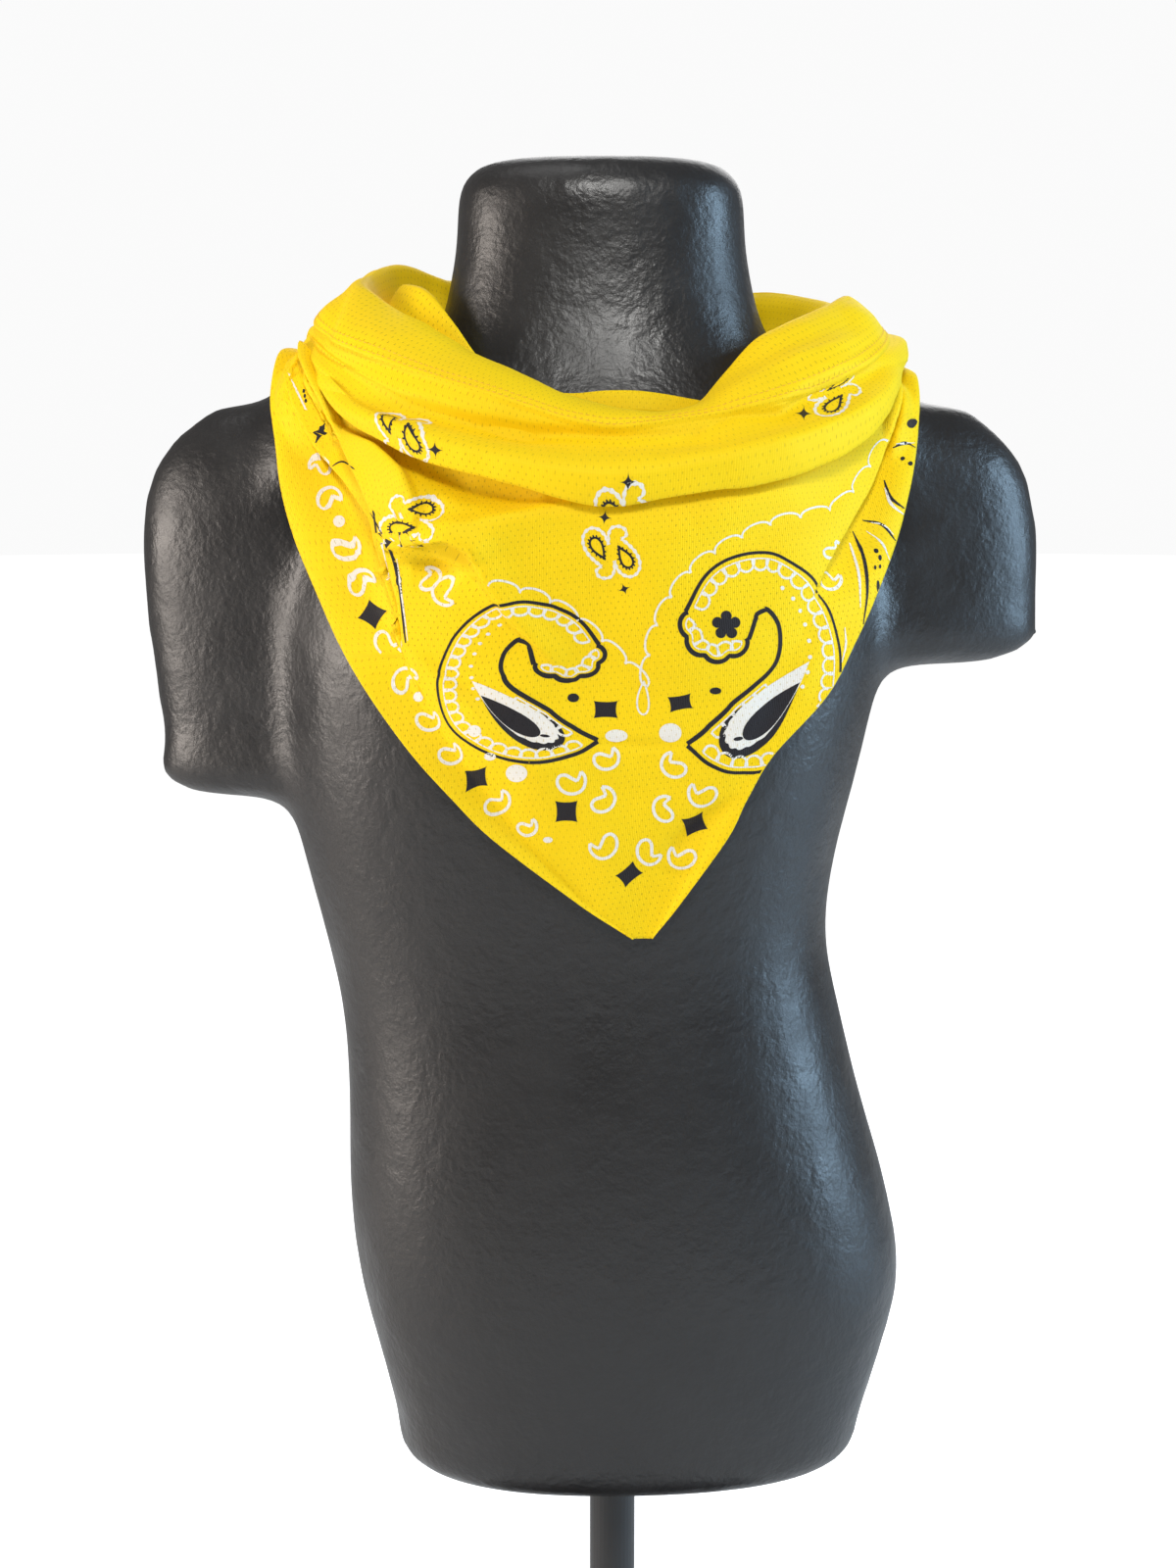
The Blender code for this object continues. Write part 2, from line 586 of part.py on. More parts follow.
def build_stand(tree, steel):
    """The pole under the form and its round base."""
    spots = [(r * math.cos(t), r * math.sin(t)) for r in (0, POLE_RADIUS) for t in np.arange(8) * math.pi / 4]
    underside = min(tree.ray_cast(Vector((x * MM, y * MM, 0)), Vector((0, 0, 1)))[0].z for x, y in spots) / MM
    disc(
        "pole", steel, POLE_RADIUS, BASE_THICKNESS + SEAM_GAP, underside - SEAM_GAP, around=32, bevel=1.0
    )
    disc("base", steel, BASE_RADIUS, 0.0, BASE_THICKNESS, around=72, bevel=BASE_BEVEL)


def disc(name, material, radius, bottom, top, around, bevel):
    """An upright cylinder with a rounded edge at each end."""
    made = bpy.data.objects.new(name, bpy.data.meshes.new(name))
    bpy.context.scene.collection.objects.link(made)
    shape = bmesh.new()
    bmesh.ops.create_cone(
        shape,
        cap_ends=True,
        segments=around,
        radius1=radius * MM,
        radius2=radius * MM,
        depth=(top - bottom) * MM,
        matrix=Matrix.Translation((0, 0, (top + bottom) / 2 * MM)),
    )
    shape.to_mesh(made.data)
    shape.free()
    made.data.materials.append(material)
    made.data.shade_smooth()
    made.data.set_sharp_from_angle(angle=math.radians(40))
    rounding = made.modifiers.new("rounded edge", "BEVEL")
    rounding.width = bevel * MM
    rounding.segments = 2
    rounding.limit_method = "ANGLE"
    return made


def main():
    for old in list(bpy.data.objects):
        bpy.data.objects.remove(old)
    cloth = make_material("yellow_jersey", (0.95, 0.62, 0.01), 0.55)
    black = make_material("black_form_skin", (0.012, 0.012, 0.013), 0.42)
    steel = make_material("black_steel", (0.02, 0.02, 0.02), 0.4, 0.6)
    form = build_form(black)
    tree = surface_of(form)
    build_stand(tree, steel)
    build_wings(tree, cloth)
    build_panel(tree, cloth)
    build_collar(tree, cloth)
    build_knot(cloth)


main()
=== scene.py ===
"""A yellow paisley bandana tied round a black dress form: the cloth, its print, the form's skin, the light.

The work is in millimetres, and the meshes are written in metres in the frame's own axes. A place on the cloth
is an angle round the neck (0 in front, minus to the viewer's left), a distance out from the neck's axis and a
height. Folds and motifs are placed in the front picture's own pixels, in its frame of 1200 x 1600.
"""

import math

import bpy
import numpy as np
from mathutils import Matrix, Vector, noise
from mathutils.bvhtree import BVHTree


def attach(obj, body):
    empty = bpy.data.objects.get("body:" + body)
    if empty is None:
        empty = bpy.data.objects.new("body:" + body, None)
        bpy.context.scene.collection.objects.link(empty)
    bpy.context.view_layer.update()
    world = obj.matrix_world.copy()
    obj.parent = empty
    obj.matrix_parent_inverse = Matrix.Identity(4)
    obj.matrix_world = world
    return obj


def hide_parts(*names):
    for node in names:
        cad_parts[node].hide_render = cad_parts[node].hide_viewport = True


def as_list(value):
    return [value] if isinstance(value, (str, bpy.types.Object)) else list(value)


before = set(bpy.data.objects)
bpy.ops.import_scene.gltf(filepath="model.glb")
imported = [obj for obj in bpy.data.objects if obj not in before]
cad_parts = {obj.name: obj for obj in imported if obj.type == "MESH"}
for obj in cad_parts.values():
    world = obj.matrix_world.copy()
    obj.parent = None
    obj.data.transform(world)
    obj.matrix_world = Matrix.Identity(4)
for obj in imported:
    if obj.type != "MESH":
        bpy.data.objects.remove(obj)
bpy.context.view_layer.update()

MM = 0.001

# The camera: what a pixel is worth at the target, the target, and how far and how high the camera is.
PIXEL = 0.505
PICTURE = (1200, 1600)
TARGET = np.array([-13.0, 0.0, 598.0])
DISTANCE = 1300.0
ELEVATION = math.radians(8)
SENSOR = 36.0
RIGHT = np.array([1.0, 0.0, 0.0])
UPWARD = np.array([0.0, math.sin(ELEVATION), math.cos(ELEVATION)])
AHEAD = np.array([0.0, math.cos(ELEVATION), -math.sin(ELEVATION)])
EYE = TARGET - AHEAD * DISTANCE

# Driving dimensions of the cloth.
THICKNESS = 0.7
CLEARANCE = 1.0  # between the lowest layer and the form
NECK_AXIS = (-4.0, 0.0)
FORM_CENTRE_ACROSS = -7.0
FORM_VOXEL = 4.5
FORM_SMOOTHING = 60
RING_POINTS, TRUNK_LEVELS, STUMP_LEVELS = 96, 100, 40
TRUNK_FULLNESS, STUMP_FULLNESS = 2.3, 2.1  # of the form's oval sections: 2 is an ellipse
YOKE_PLACES, YOKE_POINTS, YOKE_BACK = 24, 48, 4
KNOT_OUT, KNOT_UP = 98.0, 827.0
KNOT_HALF_SIZES = (20.0, 16.0, 18.0)
KNOT_COLUMNS, KNOT_ROWS, TAIL_COLUMNS, TAIL_ROWS = 120, 64, 48, 70
KNOT_POLE = 0.06  # radians from its top and its bottom that stay open
KNOT_RIDGE, KNOT_WAIST, KNOT_WAIST_AT = 0.055, 0.10, 0.9  # shares of its size, and an angle in radians
TAIL_PLEAT, TAIL_CURL = 1.4, 2.0

# The form's trunk, a row for each level: up, left, right, front, back.
TRUNK = [
    (231, -70, 96, 40, -50),
    (238, -96, 124, 62, -80),
    (262, -106, 137, 77, -97),
    (300, -116, 149, 86, -111),
    (340, -126, 158, 92, -116),
    (385, -131, 151, 94, -110),
    (441, -131, 135, 92, -92),
    (486, -134, 124, 89, -82),
    (519, -141, 117, 90, -81),
    (563, -152, 121, 96, -88),
    (600, -160, 130, 102, -94),
    (640, -163, 139, 106, -99),
    (690, -163, 147, 106, -101),
    (730, -150, 142, 98, -98),
    (762, -128, 124, 83, -91),
    (790, -103, 103, 67, -81),
    (815, -86, 88, 57, -72),
    (840, -78, 79, 52, -66),
    (880, -71, 72, 49, -61),
    (905, -68, 69, 47, -58),
    (912, -56, 57, 37, -48),
]
# Each upper arm's stump, a row for each level: up, middle, half width, half depth.
LEFT_STUMP = [
    (592, -182, 26, 26),
    (597, -180, 42, 43),
    (620, -179, 46, 49),
    (690, -180, 53, 55),
    (735, -180, 54, 54),
    (770, -178, 44, 45),
    (792, -172, 26, 28),
]
RIGHT_STUMP = [
    (660, 170, 30, 28),
    (666, 172, 46, 44),
    (690, 171, 52, 52),
    (735, 170, 53, 53),
    (770, 166, 45, 45),
    (792, 160, 27, 28),
]
# A yoke rounds each shoulder off, a row for each place: across, up, radius.
LEFT_YOKE = [(-160, 757, 50), (-110, 768, 50), (-60, 772, 48)]
RIGHT_YOKE = [(60, 772, 48), (108, 768, 48), (150, 757, 47)]

# The collar's lines round the neck, from its inner foot over its crest and round its roll to the tuck
# under it. A row for each place: angle, out, up.
COLLAR_LINES = {
    "inner": [
        (-172, 76, 822), (-130, 92, 832), (-100, 108, 829), (-75, 105, 818), (-45, 90, 796),
        (0, 82, 771), (30, 90, 772), (55, 92, 800), (90, 98, 822), (130, 84, 824), (172, 76, 820),
    ],
    "crest": [
        (-172, 88, 846), (-150, 99, 851), (-130, 108, 856), (-112, 115, 863), (-92, 121, 855),
        (-80, 122, 849), (-62, 97, 827), (-46, 88, 814), (-30, 83, 804), (0, 84, 789),
        (14, 88, 785), (25, 91, 788), (36, 89, 802), (48, 91, 818), (66, 103, 833),
        (80, 116, 843), (88, 121, 845), (96, 116, 842), (106, 110, 846), (120, 101, 850),
        (150, 93, 845), (172, 87, 842),
    ],
    "hem": [
        (-172, 100, 841), (-150, 114, 846), (-130, 126, 849), (-112, 134, 848), (-92, 139, 838),
        (-84, 143, 832), (-72, 142, 823), (-46, 122, 804), (-21, 111, 789), (0, 110, 779), (19, 112, 783),
        (39, 124, 791), (64, 137, 808), (82, 141, 823), (92, 136, 828), (104, 129, 834),
        (125, 114, 840), (172, 99, 838),
    ],
    "valley": [
        (-172, 103, 834), (-150, 119, 838), (-130, 131, 840), (-112, 140, 838), (-88, 147, 827),
        (-68, 138, 811), (-43, 124, 789), (-20, 113, 779), (0, 112, 774), (18, 115, 778),
        (38, 125, 787), (63, 138, 804), (81, 147, 819), (90, 150, 823), (102, 141, 827),
        (125, 120, 832), (172, 102, 831),
    ],
    "belly": [
        (-172, 104, 824), (-150, 121, 827), (-130, 136, 828), (-112, 146, 827), (-87, 151, 822),
        (-62, 146, 799), (-38, 141, 775), (-17, 133, 763), (0, 131, 758), (16, 134, 761),
        (33, 141, 771), (56, 148, 790), (76, 149, 808), (88, 150, 814), (102, 142, 819),
        (125, 122, 824), (172, 103, 822),
    ],
    "edge": [
        (-172, 98, 817), (-150, 115, 820), (-130, 130, 822), (-112, 142, 822), (-87, 151, 820),
        (-72, 149, 802), (-59, 147, 785), (-38, 140, 765), (-17, 130, 753), (0, 127, 744),
        (16, 131, 749), (34, 138, 755), (55, 147, 772), (74, 149, 799), (100, 139, 815),
        (125, 118, 817), (172, 97, 815),
    ],
    "tuck": [
        (-172, 88, 820), (-150, 105, 825), (-130, 120, 827), (-112, 132, 827), (-87, 141, 825),
        (-72, 143, 808), (-59, 140, 792), (-38, 131, 772), (-17, 120, 761), (0, 117, 753),
        (16, 121, 757), (34, 128, 763), (55, 138, 780), (74, 139, 806), (100, 129, 821),
        (125, 108, 821), (172, 87, 818),
    ],
}
COLLAR_ENDS = (-170.0, 170.0)
COLLAR_ROWS = (14, 28, 9, 26, 14, 10)  # rows between each line and the next
COLLAR_COLUMNS = 410
# How dense the columns are at each angle round the collar.
COLLAR_DENSITY = [
    (-170, 0.7), (-115, 0.8), (-98, 1.8), (-60, 1.8), (-45, 1.0),
    (45, 1.0), (62, 1.6), (100, 1.6), (115, 0.8), (170, 0.7),
]
COLLAR_FOLDS_FADE = (80, 100)  # the angles between which the front's folds end
COLLAR_WAVES = [(0.8, 46.0, 21.0), (0.35, 17.0, 5.0)]  # soft noise: height, length, seed
# The gathers behind: height, turn from row to row, swing, angle of a swing, its start, angle of the slant.
GATHER_ANGLES = (78, 165)
GATHERS = [(1.7, 0.46, 0.8, 17.0, 0.0, 31.0), (0.9, 0.815, 1.1, 11.0, 2.0, -23.0)]
SHARP_STEP = 0.3
# The cloth's rise just under the top band's hem, on the left.
VALLEY_RISE, VALLEY_ROWS, VALLEY_ANGLES = 3.0, 7, (12, 45)
STITCH_ROWS = (1.8, 4.6)  # how far each row of stitches is from the top band's hem
STITCH_PITCH, STITCH_LONG, STITCH_THICK = 3.1, 2.3, 0.5
STITCH_TAPER = (0.25, 1.0, 1.0, 0.25)  # share of its thickness from end to end
STITCH_SECTION = ((-0.5, 0.0), (-0.3, 0.6), (0.3, 0.6), (0.5, 0.0))
LEDGE, LEDGE_ROWS = 2.0, (-24, -5)  # how far the top band's hem stands out, and the rows it does so over
# The stretch that shows inside the collar, against the neck.
INNER_LINES = {
    "foot": [(-120, 92, 826), (-98, 91, 829), (-75, 84, 821), (-40, 77, 795), (0, 71, 787), (44, 80, 783)],
    "top": [
        (-120, 97, 836), (-106, 104, 844), (-94, 105, 848), (-82, 100, 850), (-70, 94, 845), (-60, 88, 832),
        (-48, 82, 813), (-32, 77, 800), (-15, 74, 796), (0, 74, 797), (20, 76, 796), (44, 83, 790),
    ],
    "turn": [
        (-120, 104, 827), (-106, 112, 833), (-94, 113, 836), (-82, 109, 837), (-70, 102, 832), (-60, 95, 819),
        (-48, 88, 802), (-32, 82, 791), (-15, 79, 787), (0, 78, 788), (20, 80, 787), (44, 87, 783),
    ],
}
INNER_WAVE = (0.5, 22.0, 31.0)

# The cape below the collar, a row for each level from the nape over the shoulders to the tip. The places
# in a row are the left hem, the left fold, the panel's edge, the middle, the right fold and the right hem.
CAPE = [
    ((-170, 104, 803), (-170, 99, 815), (-169, 90, 828), (0, 60, 800), (169, 90, 828), (170, 102, 802)),
    ((-142, 134, 799), (-140, 126, 812), (-139, 110, 829), (0, 70, 796), (138, 109, 829), (141, 128, 797)),
    ((-113, 159, 806), (-112, 152, 824), (-110, 138, 836), (0, 80, 790), (111, 130, 829), (113, 149, 802)),
    ((-93, 164, 819), (-93, 156, 829), (-93, 149, 836), (0, 90, 784), (90, 141, 819), (92, 155, 808)),
    ((-83, 168, 797), (-83, 161, 808), (-80, 153, 812), (0, 102, 775), (79, 147, 796), (84, 157, 797)),
    ((-75, 168, 775), (-70, 156, 777), (-67, 144, 779), (0, 112, 762), (72, 146, 777), (79, 157, 779)),
    ((-70, 168, 750), (-60, 150, 751), (-52.5, 147, 751), (0, 120, 742), (61, 148, 751), (70, 157, 750)),
    ((-66, 165, 727), (-52, 144, 726), (-47.5, 146, 726), (0, 121, 722), (52, 145, 727), (65, 155, 727)),
    ((-61, 160, 703), (-48, 141, 702), (-45, 142, 702), (0, 118, 702), (46, 139, 703), (60, 151, 703)),
    ((-56, 154, 677), (-45, 135, 678), (-44, 137, 678), (1, 115, 678), (42, 134, 678), (53, 148, 678)),
    ((-50, 148, 654), (-42, 130, 654), (-40, 130, 654), (1, 112, 654), (38, 131, 654), (47, 143, 654)),
    ((-42, 139, 627), (-35, 124, 627), (-33, 124, 627), (3, 111, 627), (30, 125, 627), (37, 132, 627)),
    ((-35, 129, 606), (-29, 117, 606), (-27, 117, 606), (4, 110, 606), (26, 119, 606), (32, 126, 606)),
    ((-27, 119, 586), (-22, 111, 586), (-20, 111, 586), (5, 107, 586), (22, 114, 586), (28, 121, 586)),
    ((-8, 104, 555), (-6, 103, 555), (-5, 103, 555), (8, 103, 555), (16, 106, 555), (19, 109, 555)),
    ((7, 101, 537), (7.4, 101, 537), (7.8, 101, 537), (10, 101, 537), (12, 102, 537), (12.4, 102, 537)),
]
PANEL_STARTS = 3.7  # the row where the front panel starts, under the collar
LEFT_FOLD_FADES, LEFT_FOLD_ENDS = 7.5, 9.2  # rows between which the left folds open and die away
LEFT_FOLD_THINS = [(5.0, 1.0), (9.2, 0.4)]  # and how thick they are on their way there
RIGHT_FOLD_FADES, RIGHT_FOLD_ENDS = 6.7, 8.4
MIDDLE_LINE, PANEL = 3, 2  # the middle's number among a row's lines, and the panel's among the cloth's parts
EDGE_ROLL, RIGHT_EDGE_ROLL = 2.6, 3.4  # radius of a fold's soft edge
HIDDEN_ROLL = 1.5  # radius of the turn behind it
WING_APART = 520.0  # how far to the left of the middle the left wing is laid flat
CAPE_ROW_GAP = 2.4
# How dense its rows are at each level.
CAPE_DENSITY = [(0, 0.42), (2.6, 0.5), (3.4, 1.3), (9.0, 1.3), (10.5, 0.85), (15, 0.85)]
CAPE_COLUMNS = [(0, 2, 60), (2, 4, 240), (4, 5, 45)]  # from line to line, and how many
# Where the cape lies under its left and its right folds, and where it lies inward from its hems: from line to
# line, with their shares, a rise and then a fall.
LEFT_SUNK, RIGHT_SUNK, INWARD = ((0, 0.9), (2.1, 2.35)), ((3.65, 3.9), (4.1, 5.0)), ((0.2, 1.2), (4.2, 4.8))
PANEL_EDGE = (1.7, 2.05)
# Shares of a fold's fading over which it thins, and over which it spreads out.
FOLD_OPENS, FOLD_SPREADS = (0, 0.65), (0.4, 1.0)
CAPE_FOLDS_FADE = (84, 96)
CAPE_WAVES = [(1.1, 70.0, 3.0), (0.45, 24.0, 9.0)]
FOLD_REACH = 9.0  # how far a folded layer runs on under the next
FOLD_REACH_SHARE = 0.42  # and at most this share of the strip beside it
RIGHT_REACH_MORE = 3
WIDEST_EDGE, EDGE_SHARE, LEAST_STRIP = 3.0, 0.2, 0.5
FOLD_REACH_GROWS = (3.4, 4.4)  # the rows between which it comes to this
HEM_SINKS = 0.9  # share of a wing's width over which it sinks from its hem
HEM_COLUMNS, PLEAT_COLUMNS, PANEL_COLUMNS, TURN_ROWS, ROLL_ROWS = 20, 14, 130, 6, 9
NEAR, NEXT, PAST = 0.3, 0.5, 0.8  # gaps between one stretch's last column and the next one's first
LEAST_DROP = 0.3  # share of a step down the cape that counts as down, at the least
FOLD_END, FOLD_FADE = 0.04, 0.6  # how near its end a fold still counts, and how softly it fades

# Each tail of the knot: share of its length, angle, out, up, half width, ridge.
TAIL = [
    (0.0, 174, 106, 807, 6, 2.0),
    (0.15, 172, 111, 794, 11, 3.0),
    (0.4, 168, 111, 768, 18, 4.0),
    (0.7, 165, 108, 738, 15, 3.0),
    (1.0, 163, 107, 712, 2, 0.5),
]


# ---------------------------------------------------------------- curves and places


def unit(vectors):
    return vectors / np.maximum(np.linalg.norm(vectors, axis=-1, keepdims=True), 1e-9)


def summed(steps, axis=0):
    """Running totals along an axis, from 0."""
    edges = np.zeros((steps.ndim, 2), int)
    edges[axis, 0] = 1
    return np.pad(np.cumsum(steps, axis=axis), edges)


def distances(path):
    """How far along a path each of its points lies."""
    return summed(np.linalg.norm(np.diff(path, axis=0), axis=1))


def along(at, place, values):
    """Rows of values that are given at places, read at other places between them."""
    return np.stack([np.interp(at, place, column) for column in values.T], axis=-1)


def curve_between(start, end, leaving, arriving, t):
    """The cubic from `start` to `end` with the given tangents, at share `t` of its way."""
    return (
        (2 * t**3 - 3 * t**2 + 1) * start
        + (t**3 - 2 * t**2 + t) * leaving
        + (3 * t**2 - 2 * t**3) * end
        + (t**3 - t**2) * arriving
    )


def smooth_rows(rows, at):
    """Values of a table at `at`, on a smooth curve through its rows, whose first column is the place."""
    rows = np.array(rows, float)
    place, values = rows[:, 0], rows[:, 1:]
    at = np.clip(np.asarray(at, float), place[0], place[-1])
    step = np.diff(place)
    slope = np.diff(values, axis=0) / step[:, None]
    tangent = np.empty_like(values)
    tangent[0], tangent[-1] = slope[0], slope[-1]
    share = (step[1:] / (step[1:] + step[:-1]))[:, None]
    tangent[1:-1] = slope[:-1] * share + slope[1:] * (1 - share)
    i = np.clip(np.searchsorted(place, at, side="right") - 1, 0, len(step) - 1)
    t = ((at - place[i]) / step[i])[..., None]
    h = step[i][..., None]
    return curve_between(values[i], values[i + 1], h * tangent[i], h * tangent[i + 1], t)


def between_lines(lines, across):
    """Values of evenly numbered lines at `across`, on a curve that never swings past a line's own value."""
    before, after = np.diff(lines, axis=0)[:-1], np.diff(lines, axis=0)[1:]
    tangent = np.empty_like(lines)
    tangent[0], tangent[-1] = before[0], after[-1]
    alike = before * after > 0
    tangent[1:-1] = np.where(alike, 2 * before * after / np.where(alike, before + after, 1), 0)
    i = np.clip(across.astype(int), 0, len(lines) - 2)
    return curve_between(lines[i], lines[i + 1], tangent[i], tangent[i + 1], (across - i)[:, None])


def smooth_step(x, low, high):
    t = np.clip((x - low) / (high - low), 0, 1)
    return t * t * (3 - 2 * t)


def plateau(x, rise, fall):
    """1 between a rise and a fall, each from one place to another, and 0 beyond them."""
    return smooth_step(x, *rise) * (1 - smooth_step(x, *fall))


def round_neck(angle, out, up):
    turn = np.radians(angle)
    x, y = NECK_AXIS[0] + out * np.sin(turn), NECK_AXIS[1] - out * np.cos(turn)
    return np.stack([x, y, up + 0 * turn], axis=-1)


def angle_of(points):
    return np.degrees(np.arctan2(points[..., 0] - NECK_AXIS[0], NECK_AXIS[1] - points[..., 1]))


def picture(points):
    """Where points in millimetres lie in the front picture, in pixels."""
    away = points - EYE
    scale = DISTANCE / (away @ AHEAD) / PIXEL
    across, down = PICTURE[0] / 2 + (away @ RIGHT) * scale, PICTURE[1] / 2 - (away @ UPWARD) * scale
    return np.stack([across, down], axis=-1)


def sight(pixels):
    """Unit directions from the camera through pixels of the front picture."""
    across = (pixels[..., 0] - PICTURE[0] / 2) * PIXEL
    rise = (PICTURE[1] / 2 - pixels[..., 1]) * PIXEL
    return unit(AHEAD * DISTANCE + across[..., None] * RIGHT + rise[..., None] * UPWARD)


def normals_of(grid):
    """Unit normals of a grid, outwards where the rows run down and the columns to the right."""
    return unit(np.cross(np.gradient(grid, axis=0), np.gradient(grid, axis=1)))


def even(field, rounds):
    """A field of vectors over a grid, evened out with its neighbours, as unit vectors."""
    for _ in range(rounds):
        for axis in (0, 1):
            field = np.moveaxis(field, axis, 0)
            padded = np.concatenate([field[:1], field, field[-1:]])
            field = np.moveaxis((padded[:-2] + 2 * padded[1:-1] + padded[2:]) / 4, 0, axis)
    return unit(field)


def waves(points, height, length, seed):
    """Soft noise up to about a height at points, with bumps about `length` apart."""
    places = points.reshape(-1, 3) / length + seed
    return 2 * height * np.array([noise.noise(Vector(p)) for p in places]).reshape(points.shape[:-1])


# ---------------------------------------------------------------- folds


# Folds of the front: a line in the picture, its height in millimetres, and how far it reaches on its
# left and on its right.
PANEL_FOLDS = [
    ([(408, 560), (434, 555), (462, 553), (480, 562), (489, 580)], 10.0, 24, 2),
    ([(486, 570), (497, 596), (518, 627), (553, 664), (574, 684)], 5.0, 22, 4),
    ([(416, 574), (440, 573), (474, 586)], -7.5, 5, 24),
    ([(601, 511), (541, 520), (484, 535), (415, 538)], 4.5, 22, 7),
    ([(430, 526), (427, 510), (416, 488), (390, 461), (352, 438)], 9.5, 22, 2),
    ([(425, 470), (480, 497), (560, 508)], -7.5, 12, 15),
    ([(578, 786), (541, 780), (495, 735), (447, 690), (413, 657)], 3.6, 26, 8),
    ([(701, 759), (655, 761), (605, 758)], -1.6, 5, 5),
    ([(560, 790), (640, 812), (720, 800)], -1.0, 16, 20),
    ([(676, 874), (700, 852), (722, 833), (748, 818)], -3.4, 8, 12),
    ([(667, 888), (692, 892), (718, 892)], -1.6, 6, 7),
    ([(905, 430), (893, 500), (872, 545), (846, 580), (826, 640)], -2.2, 20, 14),
    ([(905, 445), (800, 496), (700, 540)], 2.4, 16, 22),
    ([(890, 478), (800, 530), (690, 590)], -2.4, 22, 18),
    ([(870, 560), (820, 580), (770, 640)], 1.6, 26, 26),
    ([(600, 560), (560, 640), (600, 740)], -1.4, 46, 46),
    ([(640, 540), (700, 640), (690, 720)], 1.8, 44, 44),
    ([(812, 700), (780, 745), (757, 815)], -1.6, 18, 16),
    ([(850, 600), (838, 660), (800, 730)], 1.6, 14, 16),
]
COLLAR_FOLDS = [
    ([(358, 286), (351, 300), (343, 322), (334, 344), (318, 358)], -3.5, 6, 9),
    ([(308, 364), (320, 380), (350, 395), (387, 409), (442, 421), (484, 432), (540, 440), (640, 444),
      (712, 441)], -5.0, 6, 11),
    ([(318, 352), (345, 372), (400, 392), (470, 408), (540, 420)], 1.6, 12, 14),
    ([(322, 402), (350, 420), (400, 436), (470, 452)], 1.8, 12, 14),
    ([(410, 330), (480, 372), (560, 398)], 1.2, 18, 14),
    ([(420, 350), (500, 385), (590, 412)], -1.2, 10, 10),
    ([(600, 474), (690, 468), (790, 446), (870, 412)], 1.8, 14, 14),
    ([(640, 458), (740, 452), (830, 426), (905, 392)], -1.8, 9, 9),
    ([(712, 440), (745, 424), (800, 420), (828, 398), (862, 384), (912, 372)], -3.6, 5, 12),
    ([(720, 400), (745, 378), (803, 350), (862, 332)], -2.2, 9, 12),
    ([(728, 416), (770, 392), (820, 368), (880, 350)], 1.6, 12, 10),
    ([(766, 396), (830, 366), (900, 350)], -1.4, 7, 7),
    ([(862, 306), (880, 322), (908, 334)], 2.4, 12, 12),
]


def fold(pixels, line, height, high_side, low_side):
    """A crease along a line in the picture: it climbs steeply on the left of the line's way, and falls off
    softly within `high_side` pixels there and `low_side` pixels on its right. It fades at both ends."""
    line = np.array(line, float)
    step = np.diff(line, axis=0)
    start = distances(line)
    best = np.full(pixels.shape[:-1], np.inf)
    side, place = np.zeros_like(best), np.zeros_like(best)
    for k, way in enumerate(step):
        long = np.linalg.norm(way)
        rel = pixels - line[k]
        t = np.clip((rel @ way) / long**2, 0, 1)
        far = np.linalg.norm(rel - t[..., None] * way, axis=-1)
        # The picture's rows run down, so the left of the way has a negative cross product.
        turn = -(way[0] * rel[..., 1] - way[1] * rel[..., 0]) / long
        closer = far < best
        best = np.where(closer, far, best)
        side = np.where(closer, np.sign(turn) * far, side)
        place = np.where(closer, (start[k] + t * long) / start[-1], place)
    fade = np.sin(np.pi * np.clip(place, FOLD_END, 1 - FOLD_END)) ** FOLD_FADE
    reach = np.where(side >= 0, high_side, low_side)
    return height * np.exp(-((side / reach) ** 2)) * fade


def folds_on(points, folds):
    """How far a table of folds lifts points."""
    pixels = picture(points)
    return sum(fold(pixels, *each) for each in folds)


# ---------------------------------------------------------------- meshes


